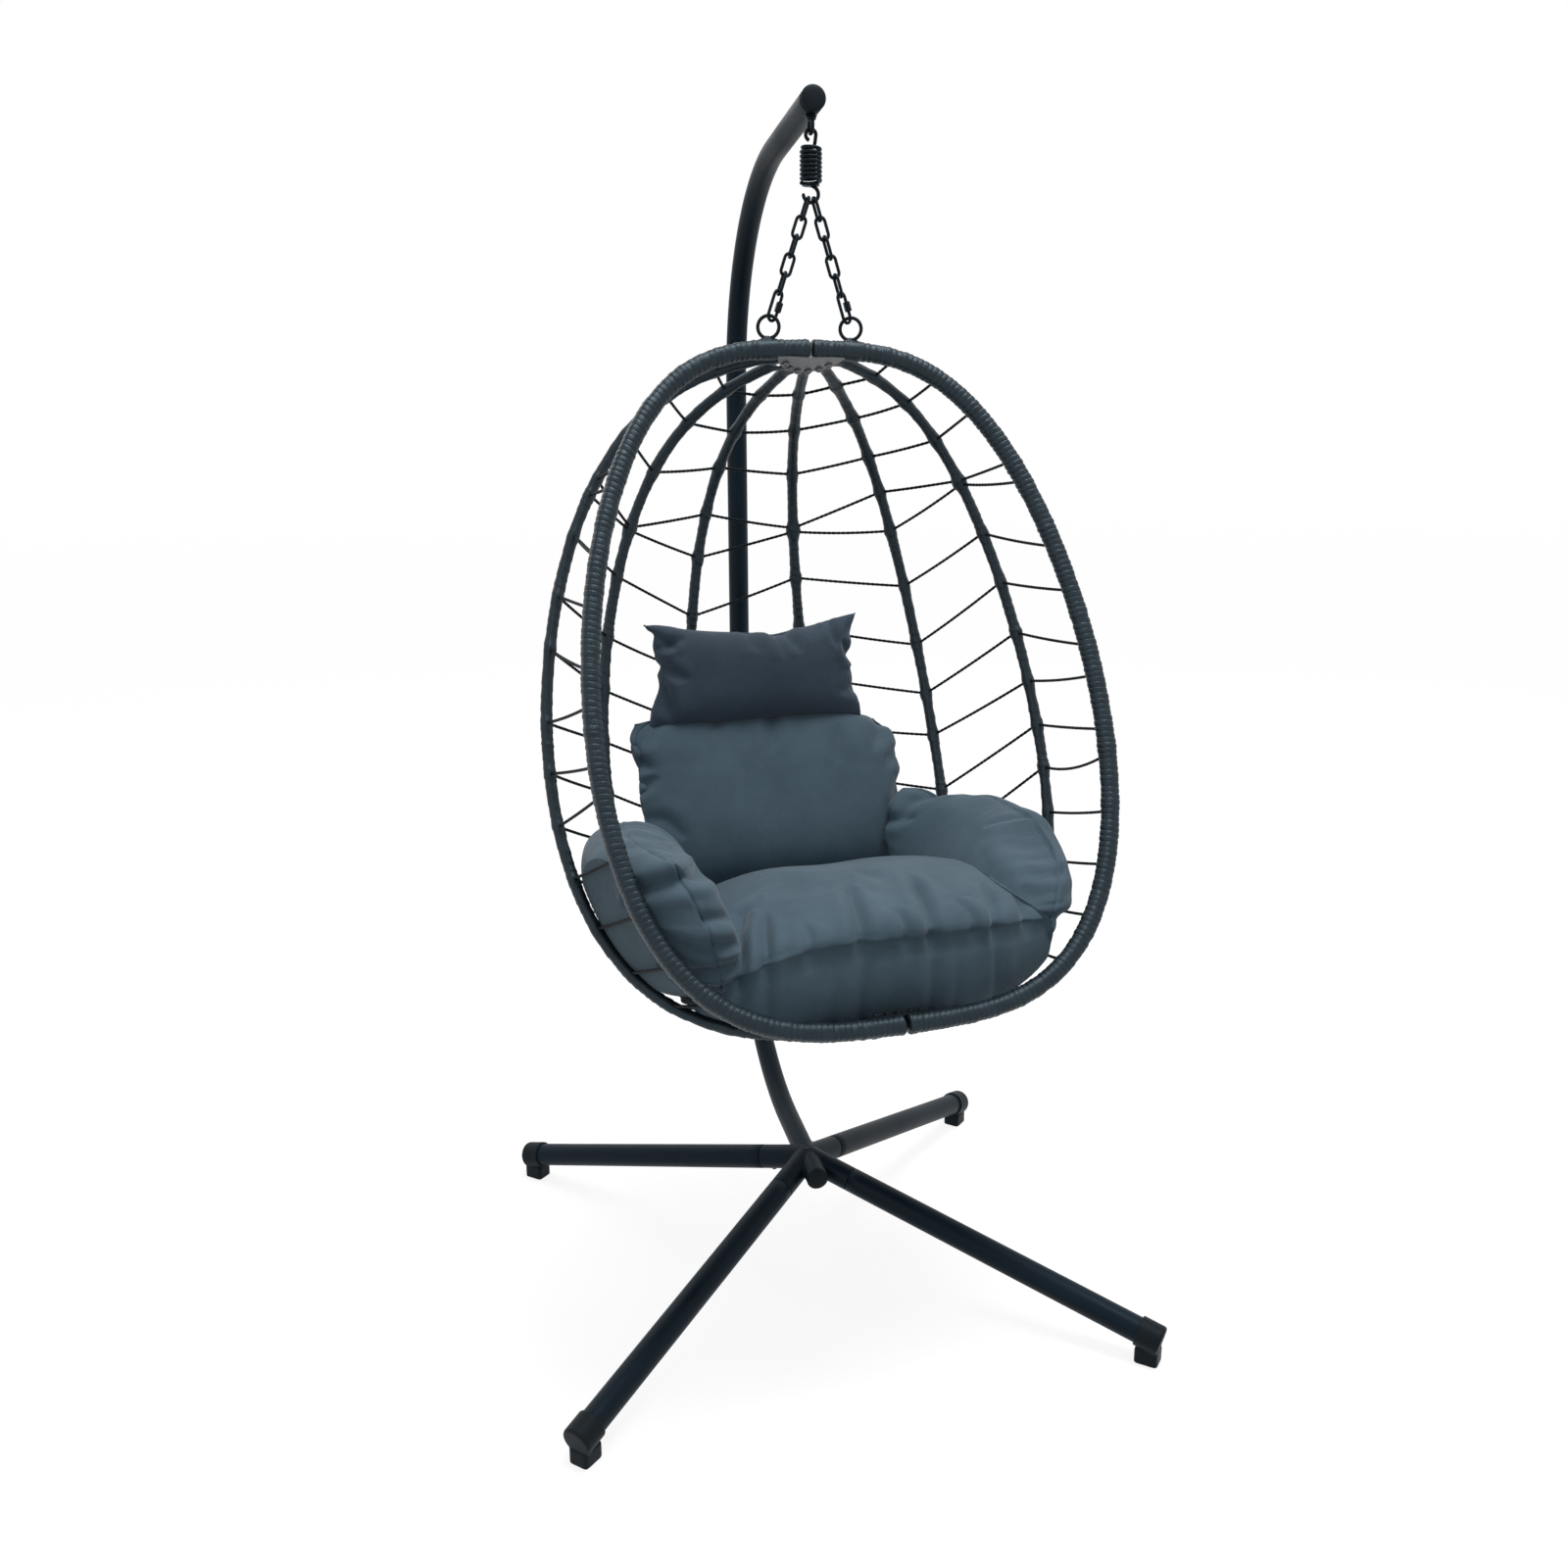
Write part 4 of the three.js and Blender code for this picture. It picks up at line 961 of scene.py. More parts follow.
# The rim's skin. With f = frac(s / pitch + slant a / 2 pi) the place across one strand, the radius
# is core + 0.0015 (1 - |2 f - 1|^6) + each strand's own lift and tilt + a ridge along the outer
# front edge. Ends swell by 0.0016; the lashing under each ring is thicker, with finer strands.
def rimSurface(index):
    rng = np.random.default_rng(100 + index)
    total = barLength(index)
    pitch, sides = wicker["rimPitch"], 28
    s = np.arange(basket["split"] / 2, total - basket["split"] / 2, pitch / 9)
    points = fromBasket(alongBar(index, s))
    a = circle(sides)
    round1 = a[None] / (2 * math.pi)
    front = basketWay((0.0, -1.0, 0.0))
    slant = 1.0 + 0.9 * bell(s, 0.05) + 0.9 * bell(total - s, 0.05)
    turns = s / pitch
    lash = np.exp(-((s - wicker["lashing"]) / 0.0145) ** 6)
    f = (turns[:, None] + round1 * slant[:, None]) % 1
    across = np.abs(2 * f - 1)
    strand = np.floor(turns[:, None] + round1).astype(int)
    lift = rng.normal(0, 0.00028, strand.max() + 2)[strand]
    tilt = rng.normal(0, 0.0004, strand.max() + 2)[strand]
    crown = 0.0015 * (1 - across ** 6) + lift * (1 - across ** 3) + tilt * (f - 0.5)
    fine = (s[:, None] / 0.0045 + round1) % 1
    crown = crown * (1 - lash[:, None]) + lash[:, None] * 0.0010 * (1 - np.abs(2 * fine - 1) ** 4)
    # seen from the front, a = 0 points at the viewer; the ridge lies a little outside of that
    side = 1 if index == 0 else -1
    ridge = 0.0012 * bell((a[None] - side * 0.7 + math.pi) % (2 * math.pi) - math.pi, 0.28)
    ends = 0.0016 * (bell(s, 0.016) + bell(total - s, 0.016))
    swell = 0.0022 * lash + ends + wander(rng, s / total, 120, 0.00025)
    radius = wicker["rimCore"] + crown + ridge * (1 - lash[:, None]) + swell[:, None]
    # the strands that go over the wire of the ring, which stands on the rim at this place
    up = fromBasket(alongBar(index, s + 0.001)) - points
    up = np.cross(unit(up), front)
    up = up * np.sign(up[:, 2:3])
    tangent = unit(np.gradient(points, axis=0))
    level = unit(front - tangent * np.sum(front * tangent, -1, keepdims=True))
    other = np.cross(tangent, level)
    ring = np.cos(a)[None, :, None] * level[:, None] + np.sin(a)[None, :, None] * other[:, None]
    high = np.maximum(np.sum(ring * unit(up)[:, None], -1), 0)
    radius = radius + wicker["ringHump"] * bell(s - wicker["ringAt"], 0.0085)[:, None] * high ** 6
    edge = np.minimum(s - s[0], s[-1] - s)
    radius = radius * (1 - 0.28 * np.exp(-edge / 0.0012))[:, None]
    return sweep(points, front, radius, sides, turns=turns)


# A rib's skin: broad strands wound at a slant that wavers, each overlapping the one before it, so
# the radius is core + 0.0011 height f^1.6 (1 - f^14) + lumps + a swelling where each cord is tied,
# with f the place across one strand. The two ends flatten into bolted tabs.
def ribSurface(index):
    rng = np.random.default_rng(200 + index)
    total = barLength(index)
    near = np.linspace(0, 0.2, 400)

    # how far along the bar from one end its tab begins
    def tabAt(runs):
        out = np.hypot(*alongBar(index, runs)[:, :2].T)
        return float(np.interp(wicker["tabStart"], out, near))

    begin, stop = tabAt(near), total - tabAt(total - near)
    sides, step = 24, 0.0013
    s = np.arange(begin, stop, step)
    points = alongBar(index, s)
    # the flat tabs that rest on the plates: the middle line drops onto the plate at both ends
    flatTop = 1 - smooth((s - begin) / 0.042, 0.42)
    flatEnd = 1 - smooth((stop - s) / 0.042, 0.42)
    drop = wicker["tabDrop"]
    points[:, 2] += -drop * flatTop + drop * flatEnd
    points = fromBasket(points)
    side = basketWay((math.sin(barAngle(index)), -math.cos(barAngle(index)), 0))
    waver = 1 + 0.35 * np.sin(s * 31 + index) + wander(rng, s / total, 60, 0.25)
    turns = np.cumsum(np.full(len(s), step / wicker["ribPitch"]) * waver)
    a = circle(sides)
    wound = turns[:, None] + a[None] / (2 * math.pi)
    f, strand = wound % 1, np.floor(wound).astype(int)
    height = rng.uniform(0.5, 1.25, strand.max() + 3)[strand]
    rough = 0.45 + 0.55 * smooth((s - 0.25) / 0.35)[:, None]
    saw = 0.0011 * rough * height * f ** 1.6 * (1 - f ** 14)
    lumps = wander(rng, s / total, 130, 0.00022)[:, None]
    lumps = lumps + 0.00015 * np.sin(3 * a[None] + 40 * s[:, None] + index)
    radius = wicker["ribCore"] + saw + lumps
    knots = np.array(laceRows(index))
    tied = bell(s[:, None] - knots[None], 0.011)
    reachOut = rng.uniform(0.0012, 0.0028, (2, len(knots)))
    for way, reach in zip((1, -1), reachOut):
        radius = radius + (tied * reach).sum(1)[:, None] * np.maximum(way * np.cos(a), 0) ** 2
    radius = radius + 0.0006 * tied.sum(1)[:, None]
    flat = np.clip(flatTop + flatEnd, 0, 1)[:, None]
    # in the tab the skin is an ellipse 7.8 by 2.1 mm
    tab = 1 / np.sqrt((np.cos(a)[None] / 0.0078) ** 2 + (np.sin(a)[None] / 0.0021) ** 2)
    radius = radius * (1 - flat) + tab * flat
    return sweep(points, side, radius, sides, turns=turns)


# Eases from 0 to 1 as x goes from start to 1.
def smooth(x, start=0.0):
    t = np.clip((np.asarray(x, float) - start) / (1 - start), 0, 1)
    return t * t * (3 - 2 * t)


def addBars():
    for index in range(barCount):
        if isRim(index):
            place = "left" if index == 0 else "right"
            skin, node = [rimSurface(index)], "rim_" + place
            addPiece("rim_wound_" + place, skin, rimWicker, "basket", [node])
        else:
            skin, node = [ribSurface(index)], f"rib_{index}"
            addPiece(f"rib_wound_{index}", skin, ribWicker, "basket", [node])


addBars()
print("rims and ribs wound")

plates = {
    "round": 0.055,
    "setback": 0.012,
    "edge": math.radians(8),
    "thick": 0.003,
    "drop": basket["ribRadius"] + 0.0034 + 0.0015,
    "boltOut": 0.040,
    "nutHalf": 0.0050,
    "tabThick": 0.0042,
}


# A half-moon: an arc closed by its chord, with the edges of both faces eased.
def halfMoon(z):
    p = plates
    a = np.linspace(p["edge"], math.pi - p["edge"], 61)
    arc = np.stack([p["round"] * np.cos(a), p["round"] * np.sin(a) - p["setback"]], -1)
    loop = np.concatenate([arc, np.linspace(arc[-1], arc[0], 20)[1:-1]])
    n = len(loop)
    along = unit(np.roll(loop, -1, 0) - np.roll(loop, 1, 0))
    inward = np.stack([-along[:, 1], along[:, 0]], -1)
    half = p["thick"] / 2
    rows = [(0.0006, -half), (0.0001, -half + 0.0003), (0.0, -half + 0.0007)]
    rows += [(0.0, half - 0.0007), (0.0001, half - 0.0003), (0.0006, half)]
    verts = np.concatenate([np.column_stack([loop + inward * e, np.full(n, z + h)]) for e, h in rows])
    return surfaceOf(fromBasket(verts).reshape(len(rows), n, 3))


# Both half-moons, each with a bolt and a nut through the tab of every rib.
def addPlates():
    p = plates
    b = np.linspace(0, math.pi / 2, 6)
    dome = [(0.0072, -0.0003), (0.0072, 0.0008), (0.0068, 0.0011), (0.0052, 0.0012), (0.0052, 0.0020)]
    dome += list(zip(0.0051 * np.cos(b), 0.0022 + 0.0026 * np.sin(b)))[:-1] + [(0.0003, 0.0048)]
    hexed = hexagon(circle(36), p["nutHalf"])
    radii = np.stack([hexed, hexed, hexed, hexed * 0.92, hexed * 0.5])
    nutSteps = np.array([-0.0012, 0.0, 0.0032, 0.0038, 0.0040])[:, None]
    for name, z, inside in (("Top", -p["drop"], -1), ("Bottom", p["drop"] - basket["length"], 1)):
        way = basketWay((0.0, 0.0, inside))
        bolts = []
        for index in range(1, barCount - 1):
            a = barAngle(index)
            x, y = p["boltOut"] * math.cos(a), p["boltOut"] * math.sin(a)
            at = np.array([x, y, z + inside * p["thick"] / 2])
            # the nut sits on the far side, on top of the rib's tab
            behind = at - np.array([0, 0, inside * (p["thick"] + p["tabThick"])])
            head, nut = fromBasket(np.array([at, behind]))
            bolts.append(lathe(dome, head, way, 28))
            bolts.append(sweep(nut - way * nutSteps, basketWay(xWay), radii, 36))
        node = "hinge_plate_" + name.lower()
        metal = paint["brightZinc" if name == "Top" else "darkPaint"]
        addPiece("halfMoon" + name, [halfMoon(z)], metal, "basket", [node], sharp=30)
        addPiece("bolts" + name, bolts, metal, "basket", [], sharp=35)


addPlates()
print("plates made")


# One bay's cords: from row to row, a straight strand with a small sag 4 d u (1 - u), laid as two
# threads, so the radius is cord (1 + 0.11 cos(2 a - 2 pi s / lay)). One cord hangs slack.
def addLacing():
    rng = np.random.default_rng(7)
    rowsOf = [laceRows(index) for index in range(barCount)]
    cores = [wicker["rimCore" if isRim(k) else "ribCore"] for k in range(barCount)]
    angle = circle(10)
    for bay in range(barCount - 1):
        parts = []
        for row, (left, right) in enumerate(zip(rowsOf[bay], rowsOf[bay + 1])):
            a, b = fromBasket(np.concatenate([alongBar(bay, [left]), alongBar(bay + 1, [right])]))
            way = unit(b - a)
            a, b = a + way * cores[bay] * 0.55, b - way * cores[bay + 1] * 0.55
            span = np.linalg.norm(b - a)
            u = np.linspace(0, 1, max(8, int(span / 0.002)))
            sag = rng.uniform(0.0005, 0.0035) * min(1.0, span / 0.2)
            if (bay, row) == wicker["slackCord"]:
                sag = wicker["slackSag"]
            line = a + u[:, None] * (b - a)
            line[:, 2] -= 4 * sag * u * (1 - u)
            lay = 2 * math.pi * u[:, None] * span / wicker["lay"]
            radius = wicker["laceCord"] * (1 + 0.11 * np.cos(2 * angle[None] - lay))
            parts.append(sweep(line, zWay, radius, 10))
        cords = f"cords_{bay + 1}"
        addPiece(cords, parts, paint["lacingCord"], "basket", [f"lacing_{bay + 1}"])


addLacing()
print("lacing strung")

# Cushions: two sheets sewn round their edge, filled, creased and set in the basket.
# Their outlines and folds are given in millimetres.


# A line through (place, value) pairs, rounded at its corners by averaging nearby readings.
def softLine(pairs, x, reach=0.09):
    at, value = np.array(pairs, float).T
    value = value / 1000
    near = np.linspace(-reach, reach, 9)
    return np.mean([np.interp(x + d, at, value) for d in near], axis=0)


# Two grids of points on -1..1, the second sharing the first one's border. Places are spaced as
# sin(pi U / 2), so they crowd at the seam. Gives u, v, the sheet (1 or -1) and the quads.
def twoSheets(columns, rows):
    u = np.sin(np.linspace(-1, 1, columns + 1) * math.pi / 2)
    v = np.sin(np.linspace(-1, 1, rows + 1) * math.pi / 2)
    gridU, gridV = np.meshgrid(u, v, indexing="ij")
    front = np.arange(gridU.size).reshape(gridU.shape)
    back = front.copy()
    inner = np.arange((columns - 1) * (rows - 1)).reshape(columns - 1, rows - 1)
    back[1:-1, 1:-1] = front.size + inner
    everyU = np.concatenate([gridU.ravel(), gridU[1:-1, 1:-1].ravel()])
    everyV = np.concatenate([gridV.ravel(), gridV[1:-1, 1:-1].ravel()])
    sheet = np.ones(len(everyU))
    sheet[front.size:] = -1
    quads = []
    for index, order in ((front, 1), (back, -1)):
        q = np.stack([index[:-1, :-1], index[1:, :-1], index[1:, 1:], index[:-1, 1:]], -1)
        quads.append(q.reshape(-1, 4)[:, ::order])
    return everyU, everyV, sheet, np.concatenate(quads)


# At each point, the sum of the cross products of its faces' diagonals, brought to length 1.
def vertexNormals(points, quads):
    a, b, c, d = (points[quads[:, k]] for k in range(4))
    face = np.cross(c - a, d - b)
    normal = np.zeros_like(points)
    for k in range(4):
        np.add.at(normal, quads[:, k], face)
    return unit(normal)


# How deep a point lies in a crease that runs along a polyline: a groove exp(-(d / w)^2) with a
# low bank on both sides, fading towards the polyline's two ends. Gives the height to add.
def creaseHeight(where, line, width, depth):
    pieces = np.linalg.norm(np.diff(line, axis=0), axis=1)
    start = runOf(line)
    best = np.full(len(where), 1e9)
    along = np.zeros(len(where))
    for k in range(len(line) - 1):
        a, b = line[k], line[k + 1]
        t = np.clip(((where - a) @ (b - a)) / max(pieces[k] ** 2, 1e-12), 0, 1)
        d = np.linalg.norm(where - a - t[:, None] * (b - a), axis=1)
        closer = d < best
        best = np.where(closer, d, best)
        along = np.where(closer, (start[k] + t * pieces[k]) / start[-1], along)
    fade = np.clip(4.5 * along * (1 - along), 0, 1) ** 0.8
    w = width * (0.55 + 0.6 * fade)
    groove = -bell(best, w) + 0.42 * bell(best - 2.2 * w, 1.3 * w)
    return depth * fade * groove


# The basket's inside at the height of each point, as the distance from its axis to the flat wall
# between two bars, less an inset. Points beyond it are brought back to it.
def keptInside(points, inset):
    bare = turned(points - hangPoint, zWay, -hanger["basketTurn"])
    bare = bare - np.array([0.0, basket["setback"], basket["height"]])
    p = turned(bare, xWay, basket["lean"])
    t = np.arccos(np.clip(1 + 2 * p[:, 2] / basket["length"], -0.9995, 0.9995)) / math.pi
    angle = np.arctan2(p[:, 1], p[:, 0])
    behind = (angle > -0.35) | (angle < -math.pi + 0.35)
    angle = np.where(angle < -math.pi / 2, angle + 2 * math.pi, angle)
    bars = np.array([barAngle(k) for k in range(barCount)])
    sizes = np.array([eggOutline(t, reach)[0] for reach in basket["reaches"]])
    bay = np.clip(np.searchsorted(-bars, -angle) - 1, 0, barCount - 2)
    n = np.arange(len(p))
    r1, r2 = sizes[bay, n] - inset, sizes[bay + 1, n] - inset
    a1, a2 = bars[bay], bars[bay + 1]
    x1, y1, x2, y2 = r1 * np.cos(a1), r1 * np.sin(a1), r2 * np.cos(a2), r2 * np.sin(a2)
    c, s = np.cos(angle), np.sin(angle)
    cross = c * (y2 - y1) - s * (x2 - x1)
    wall = (x1 * (y2 - y1) - y1 * (x2 - x1)) / np.where(np.abs(cross) < 1e-9, 1e-9, cross)
    wall = np.where(angle < 0, sizes[-1] - inset, np.where(angle > math.pi, sizes[0] - inset, wall))
    far = np.hypot(p[:, 0], p[:, 1])
    share = np.where(behind & (far > wall), wall / np.maximum(far, 1e-9), 1.0)
    p = p * np.stack([share, share, np.ones_like(share)], -1)
    return fromBasket(p)


# Points inside a neighbour's block |x|^p + |y|^p + |z|^p < 1 move straight out to its surface.
def keptOff(points, block):
    local = turned(points - hangPoint, zWay, -hanger["basketTurn"]) - np.array(block["at"])
    local = turned(local, xWay, block["lean"])
    q = local / (np.array(block["size"]) / 2)
    g = np.sum(np.abs(q) ** block["fullness"], axis=-1) ** (1 / block["fullness"])
    share = np.where(g < 1, 1 / np.maximum(g, 0.2), 1.0)
    local = local * share[:, None]
    local = turned(local, xWay, -block["lean"]) + np.array(block["at"])
    return fromSling(local)


# One cushion's points. u and v run along its two sheet axes; the sheets stand
# thick ((1 - |u|^p)(1 - |v|^p))^k apart from the middle plane, with p and k its fullness.
# bend(a, b) gives how far the middle plane leaves the flat, for sheet places a and b. The lower
# sheet's low side bellies out by belly 4 f (1 - f), f being its share of the full thickness.
def cushionShape(c, neighbours):
    u, v, sheet, quads = twoSheets(*c["cells"])
    left, right = softLine(c["left"], v, c["blunt"]), softLine(c["right"], v, c["blunt"])
    low, high = softLine(c["low"], u, c["blunt"]), softLine(c["high"], u, c["blunt"])
    a = left + (right - left) * (u + 1) / 2
    b = low + (high - low) * (v + 1) / 2
    p, k = c["fullness"][0], np.where(sheet > 0, c["fullness"][1], c["fullness"][-1])
    filled = np.maximum((1 - np.abs(u) ** p) * (1 - np.abs(v) ** p), 0) ** k
    thick = np.where(sheet > 0, c["thick"][0], c["thick"][1])
    d = sheet * thick * filled + c["bend"](a, b)
    belly = np.where(sheet < 0, c["belly"], 0) * 4 * filled * (1 - filled) * np.maximum(-v, 0)
    axes = np.array(c["axes"], float)
    points = a[:, None] * axes[0] + (b - belly)[:, None] * axes[1] + d[:, None] * axes[2]
    points = turned(points, xWay, -c["lean"]) + np.array(c["at"])
    points = keptInside(fromSling(points), c["inset"])
    for block in neighbours:
        points = keptOff(points, block)
    # how far in from the seam
    wide, tall = (right - left) / 2, (high - low) / 2
    edge = np.minimum((1 - np.abs(u)) * wide, (1 - np.abs(v)) * tall)
    deep = np.hypot(edge, thick * filled)
    return points, quads, u, v, a, b, sheet, deep


# The finished cushion: its shape, moved along its normals by puckers at the seam, the seam's own
# groove, the listed creases and a broad unevenness.
def addCushion(name, c, body, neighbours=()):
    rng = np.random.default_rng(c["seed"])
    points, quads, u, v, a, b, sheet, deep = cushionShape(c, neighbours)
    normal = vertexNormals(points, quads)
    if np.sum(normal * (points - points.mean(0))) < 0:
        quads = quads[:, ::-1]
        normal = -normal
    around = (np.arctan2(v, u) / (2 * math.pi)) % 1
    pucker = np.array([wander(rng, around, c["puckers"], 1.0), wander(rng, around, c["puckers"], 1.0)])
    pucker = np.where(sheet > 0, pucker[0], 0.5 * pucker[0] + 0.5 * pucker[1])
    lift = c["puckerDepth"] * pucker * np.exp(-(deep / c["puckerReach"])) * np.clip(deep / 0.012, 0, 1)
    lift = lift - c["seamDepth"] * bell(deep, 0.0020)
    where = np.stack([a, b], -1)
    share = np.where(sheet > 0, 1, c["under"])
    # a fold is its sheet (0 for both), its width and depth, then the places it runs through
    for side, *rest in c["folds"]:
        width, depth, *line = np.array(rest, float) / 1000
        crease = creaseHeight(where, np.reshape(line, (-1, 2)), width, depth)
        lift = lift + np.where((sheet == side) | (side == 0), crease, 0) * share
    for _ in range(7):
        way = rng.normal(0, 1, 3)
        way = way / np.linalg.norm(way) * rng.uniform(12, 38)
        swell = c["uneven"] * np.sin(points @ way + rng.uniform(0, 6.28))
        lift = lift + swell * np.clip(deep / 0.02, 0, 1)
    points = points + normal * lift[:, None]
    points = keptInside(points, c["inset"] - 0.002)
    skin = {"verts": points, "quads": quads, "uv": np.zeros((len(quads), 4, 2)), "caps": []}
    piece = addPiece(name, [skin], c["cover"], body, [c["node"]])


backBlock = {"at": (0, 0.178, 0.832), "size": (0.486, 0.150, 0.320), "lean": math.radians(22)}
backBlock["fullness"] = 4
leftBlock = {"at": (-0.315, -0.115, 0.7445), "size": (0.230, 0.430, 0.250), "lean": 0.0, "fullness": 3}
rightBlock = {"at": (0.322, -0.115, 0.7445), "size": (0.205, 0.430, 0.250), "lean": 0.0, "fullness": 3}

# what the cushions share
cushion = {"lean": 0.0, "belly": 0.0, "under": 1.0, "inset": 0.0105}
cushion.update({"seamDepth": 0.0026, "uneven": 0.0007})
backCushion = {
    **cushion, "node": "back_cushion", "cover": cushionCover, "seed": 1, "cells": (190, 165),
    "at": (0, 0.178, 0.832), "lean": math.radians(22),
    "axes": ((1, 0, 0), (0, 0, 1), (0, -1, 0)), "blunt": 0.05,
    "left": ((-1, -240), (-0.3, -264), (0.1, -268), (0.45, -262), (0.62, -278), (0.85, -286),
        (1, -272)),
    "right": ((-1, 190), (-0.3, 214), (0.1, 220), (0.5, 226), (0.8, 222), (1, 194)),
    "low": ((-1, -155), (1, -155)),
    "high": ((-1, 128), (-0.8, 138), (0, 148), (0.7, 145), (1, 118)),
    "thick": (0.074, 0.07), "fullness": (2.6, 0.42),
    "bend": lambda a, b: 0.35 * a ** 2,
    "puckers": 46, "puckerDepth": 0.002, "puckerReach": 0.022,
    "folds": (
        (1, 10, 5.5, -4, 170, -10, 120, -18, 90, -28, 60),
        (1, 9, 4.5, -90, 160, -101, 133, -125, 108),
        (1, 9, 4, 110, 110, 104, 80, 93, 30),
        (1, 10, 5.5, 210, 130, 193, 99, 168, 50),
        (0, 9, 6.5, -300, 90, -261, 71, -235, 45),
        (0, 8, 7.5, -285, 15, -253, 20, -225, 35),
        (0, 8, 5.5, -200, 150, -225, 120, -245, 95, -270, 70),
        (1, 8, 4.5, 245, 60, 215, 50, 190, 20),
        (1, 9, 5, 250, 10, 215, -5, 190, -50),
        (1, 10, 4.5, -260, -30, -225, -40, -190, -75),
    ),
}
pillow = {
    **cushion, "node": "head_pillow", "cover": pillowCover, "seed": 2, "cells": (170, 120),
    "at": (0, 0.212, 1.062), "lean": math.radians(4),
    "axes": ((1, 0, 0), (0, 0, 1), (0, -1, 0)), "blunt": 0.03,
    "left": ((-1, -232), (-0.55, -214), (0, -205), (0.6, -212), (0.82, -216), (1, -230)),
    "right": ((-1, 166), (-0.4, 152), (0.1, 145), (0.6, 148), (1, 160)),
    "low": ((-1, -106), (-0.6, -100), (0.4, -100), (1, -106)),
    "high": ((-1, 74), (-0.6, 62), (0.05, 50), (0.2, 46), (0.6, 60), (1, 80)),
    "thick": (0.054, 0.046), "fullness": (2.6, 0.46),
    "bend": lambda a, b: 0.25 * a ** 2,
    "puckers": 30, "puckerDepth": 0.0032, "puckerReach": 0.02,
    "folds": (
        (0, 7, 5.5, -225, 60, -200, 47, -176, 30),
        (1, 6, 5, -215, 30, -188, 40, -160, 52),
        (0, 7, 6.5, -220, 5, -195, -3, -160, -20),
        (1, 9, 3.5, -50, 60, -44, 40, -34, 20),
        (1, 8, 5, 0, 60, 6, 38, 15, 5),
        (1, 9, 6.5, 12, 62, 25, 42, 42, 15),
        (0, 7, 6.5, 160, -8, 138, 10, 122, 35),
        (1, 6, 4, 100, 78, 106, 48, 112, 20),
        (0, 8, 7.5, -205, -15, -200, -50, -188, -95),
        (1, 8, 4, 165, -60, 140, -50, 115, -60),
    ),
}
seat = {
    **cushion, "node": "seat_cushion", "cover": cushionCover, "seed": 3, "cells": (230, 180),
    "at": (0, -0.095, 0.682), "axes": ((1, 0, 0), (0, 1, 0), (0, 0, 1)), "blunt": 0.09,
    "left": ((-1, -262), (-0.4, -292), (0.4, -285), (1, -235)),
    "right": ((-1, 278), (-0.4, 300), (0.4, 285), (1, 235)),
    "low": ((-1, -225), (-0.6, -240), (0, -248), (0.6, -245), (1, -215)),
    "high": ((-1, 225), (1, 225)),
    "thick": (0.052, 0.192), "fullness": (3.0, 0.4, 0.25),
    "bend": lambda a, b: 0.046 - 1.2 * np.maximum(-a - 0.05, 0) ** 2 - 0.6 * np.maximum(a
    - 0.15, 0) ** 2 - 1.1 * np.maximum(b + 0.07, 0) ** 2,
    "belly": 0.012, "under": 0.55, "puckers": 60, "puckerDepth": 0.0036, "puckerReach": 0.03,
    "folds": (
        (0, 9, 11, -18, -120, -35, -198, -44, -245, -55, -310),
        (0, 9, 11, 90, -95, 75, -179, 66, -235, 60, -310),
        (0, 8, 8.5, 196, -150, 179, -215, 168, -250, 158, -310),
        (0, 9, 11, -145, -95, -186, -118, -206, -162, -219, -212, -238, -260),
        (0, 7, 8, -160, -150, -177, -200, -188, -240, -200, -290),
        (1, 7, 6, 125, -200, 133, -240, 139, -290),
        (1, 7, 5, 18, -205, 22, -240, 25, -290),
        (1, 8, 5.5, -118, -205, -122, -240, -128, -290),
        (1, 7, 6.5, 240, -170, 232, -215, 222, -270),
        (-1, 8, 6, -90, -250, -85, -225, -75, -200),
        (-1, 9, 6, 100, -250, 104, -228, 112, -200),
        (1, 16, 3, 20, -60, 45, -110, 50, -150),
        (1, 18, 3, -90, -20, -100, -80, -95, -140),
    ),
}
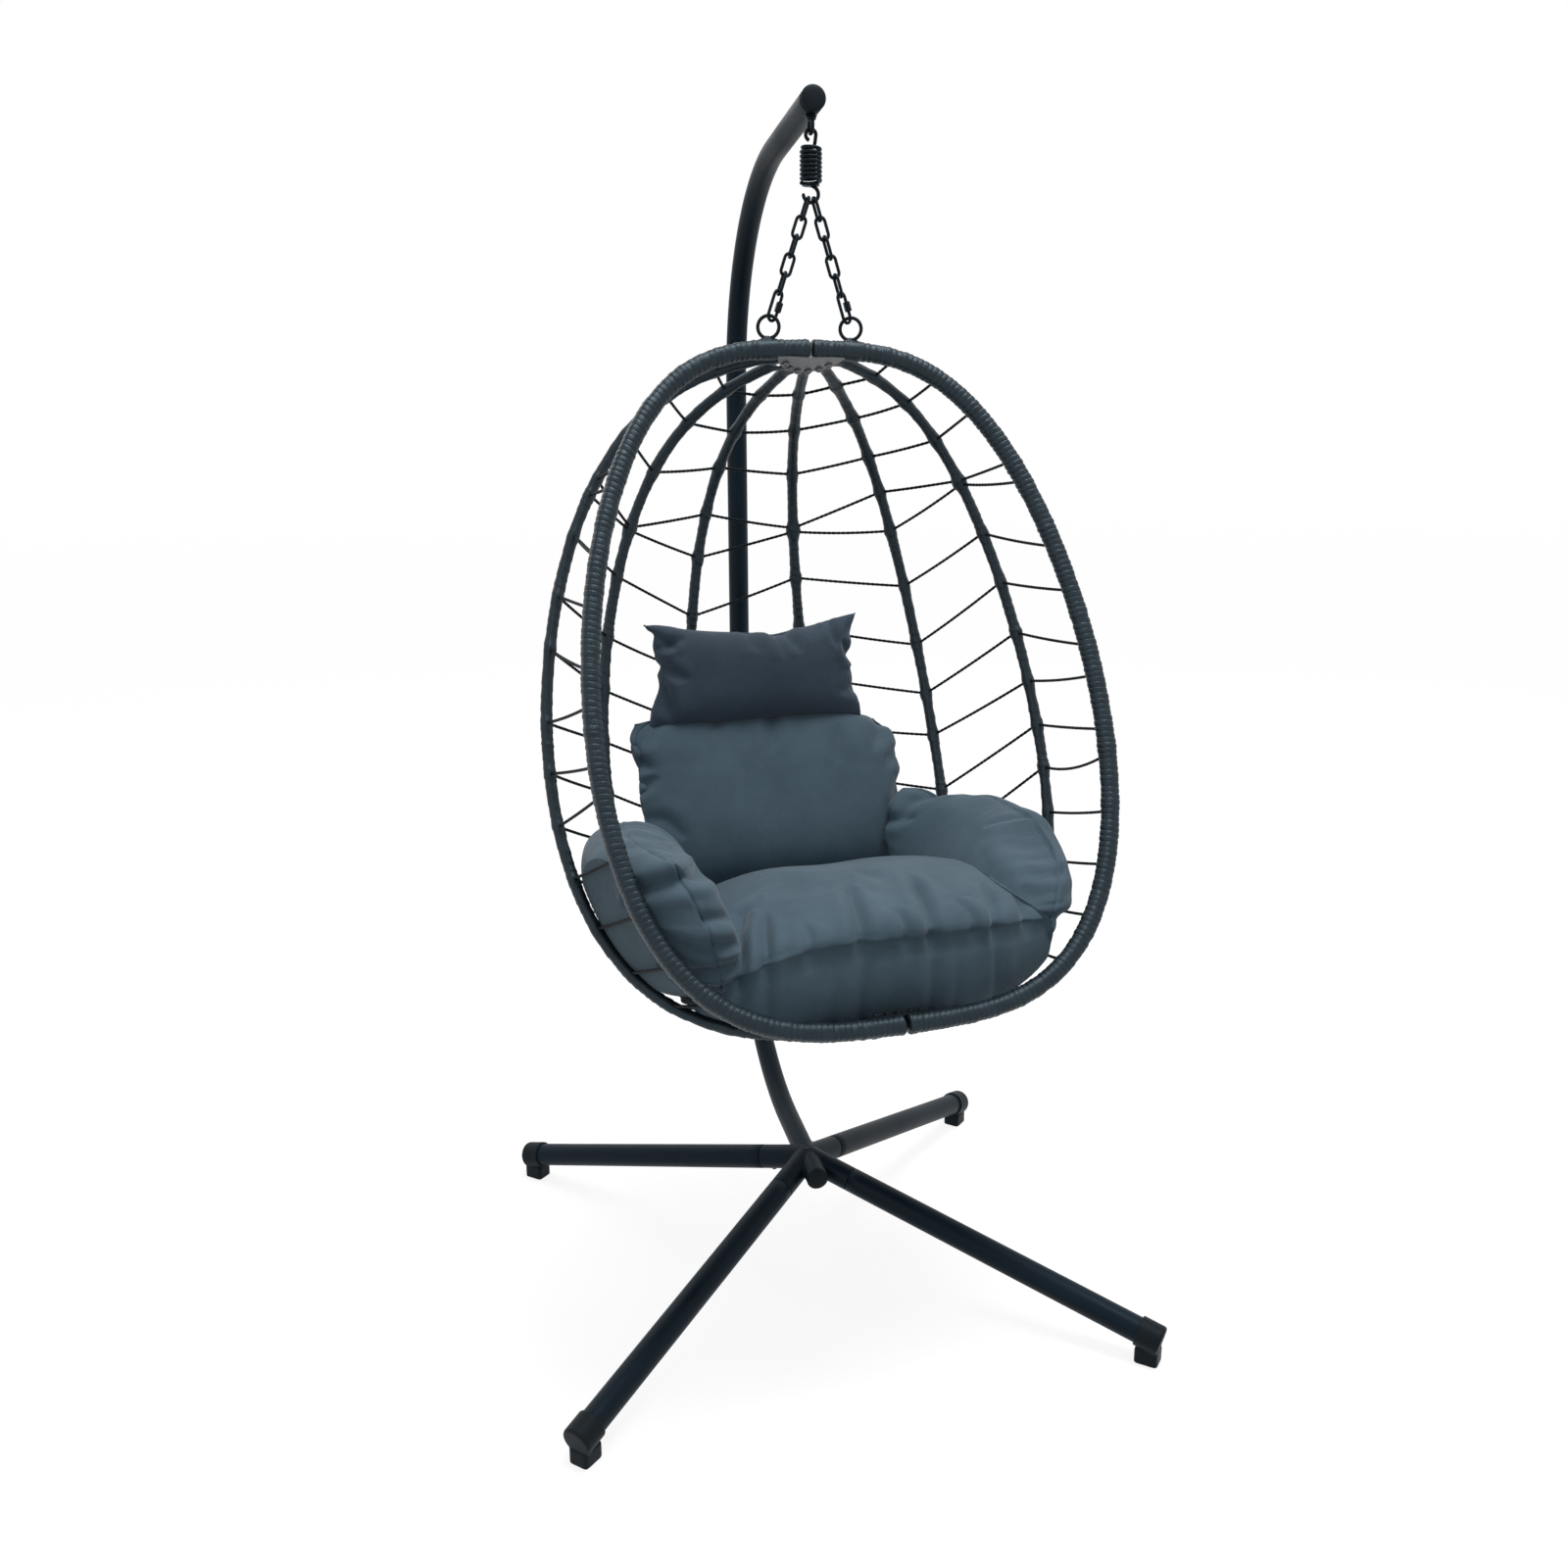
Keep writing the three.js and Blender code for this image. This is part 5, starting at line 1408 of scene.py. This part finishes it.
armLeft = {
    **cushion, "node": "arm_pad_left", "cover": cushionCover, "seed": 4, "cells": (200, 160),
    "at": (0, 0, 0), "axes": ((0, 1, 0), (0, 0, 1), (1, 0, 0)), "blunt": 0.09,
    "left": ((-1, -335), (0, -350), (1, -320)),
    "right": ((-1, 50), (0, 70), (1, 60)),
    "low": ((-1, 680), (-0.5, 640), (0.5, 640), (1, 680)),
    "high": ((-1, 868), (-0.4, 874), (0.4, 864), (1, 830)),
    "thick": (0.09, 0.092), "fullness": (2.6, 0.45),
    "bend": lambda a, b: -(0.305 + 0.3 * (b - 0.745) - 1.4 * np.minimum(a + 0.18, 0) ** 2
    - 0.6 * np.maximum(a + 0.18, 0) ** 2),
    "puckers": 44, "puckerDepth": 0.003, "puckerReach": 0.028,
    "folds": (
        (1, 9, 12, -370, 853, -325, 849, -295, 845, -215, 828),
        (-1, 9, 10, -370, 868, -327, 845, -293, 823, -245, 790),
        (1, 8, 7, -270, 900, -215, 873, -159, 864, -130, 850),
        (1, 8, 8, -300, 885, -258, 869, -190, 855, -150, 848),
        (1, 6, 6, -310, 872, -270, 860, -225, 852),
        (0, 8, 8, -370, 705, -330, 715, -280, 712),
        (0, 8, 8, -365, 670, -320, 692, -285, 697),
        (-1, 7, 6, -325, 780, -342, 748, -360, 720),
        (1, 7, 6, -375, 800, -343, 792, -310, 780),
        (1, 6, 4.5, -375, 760, -345, 752, -315, 738),
        (-1, 8, 5.5, -290, 790, -313, 755, -340, 725),
        (1, 10, 5, -80, 890, -70, 850, -85, 815),
    ),
}
armRight = {
    **cushion, "node": "arm_pad_right", "cover": cushionCover, "seed": 5, "cells": (200, 160),
    "at": (0, 0, 0), "axes": ((0, 1, 0), (0, 0, 1), (-1, 0, 0)), "blunt": 0.09,
    "left": ((-1, -315), (0, -310), (0.6, -270), (1, -215)),
    "right": ((-1, 50), (0, 90), (1, 100)),
    "low": ((-1, 680), (-0.5, 650), (0.5, 640), (1, 680)),
    "high": ((-1, 808), (-0.4, 834), (0.4, 840), (0.8, 829), (1, 844)),
    "thick": (0.092, 0.052), "fullness": (2.8, 0.42),
    "bend": lambda a, b: -(0.300 + 0.45 * (b - 0.745) - 0.6 * (a + 0.18) ** 2
    - 6.0 * np.maximum(a + 0.02, 0) ** 2),
    "puckers": 44, "puckerDepth": 0.0026, "puckerReach": 0.028,
    "folds": (
        (1, 9, 7.5, -170, 810, -215, 806, -265, 795),
        (1, 9, 8, -140, 830, -180, 823, -235, 815),
        (1, 8, 6, -70, 840, -115, 838, -160, 838),
        (1, 8, 5, -110, 815, -119, 838, -122, 860),
        (0, 8, 7.5, -270, 700, -300, 716, -340, 735),
        (0, 8, 8, -345, 735, -306, 745, -270, 765),
        (0, 8, 7.5, -330, 770, -286, 779, -245, 785),
        (0, 8, 7.5, 50, 860, 66, 825, 60, 795),
        (1, 8, 6, 120, 800, 80, 790, 40, 800),
    ),
}

addCushion("cushionBack", backCushion, "basket")
addCushion("cushionHead", pillow, "pillow")
addCushion("cushionArmLeft", armLeft, "basket", [backBlock])
addCushion("cushionArmRight", armRight, "basket", [backBlock])
addCushion("cushionSeat", seat, "basket", [backBlock, leftBlock, rightBlock])
print("cushions made")
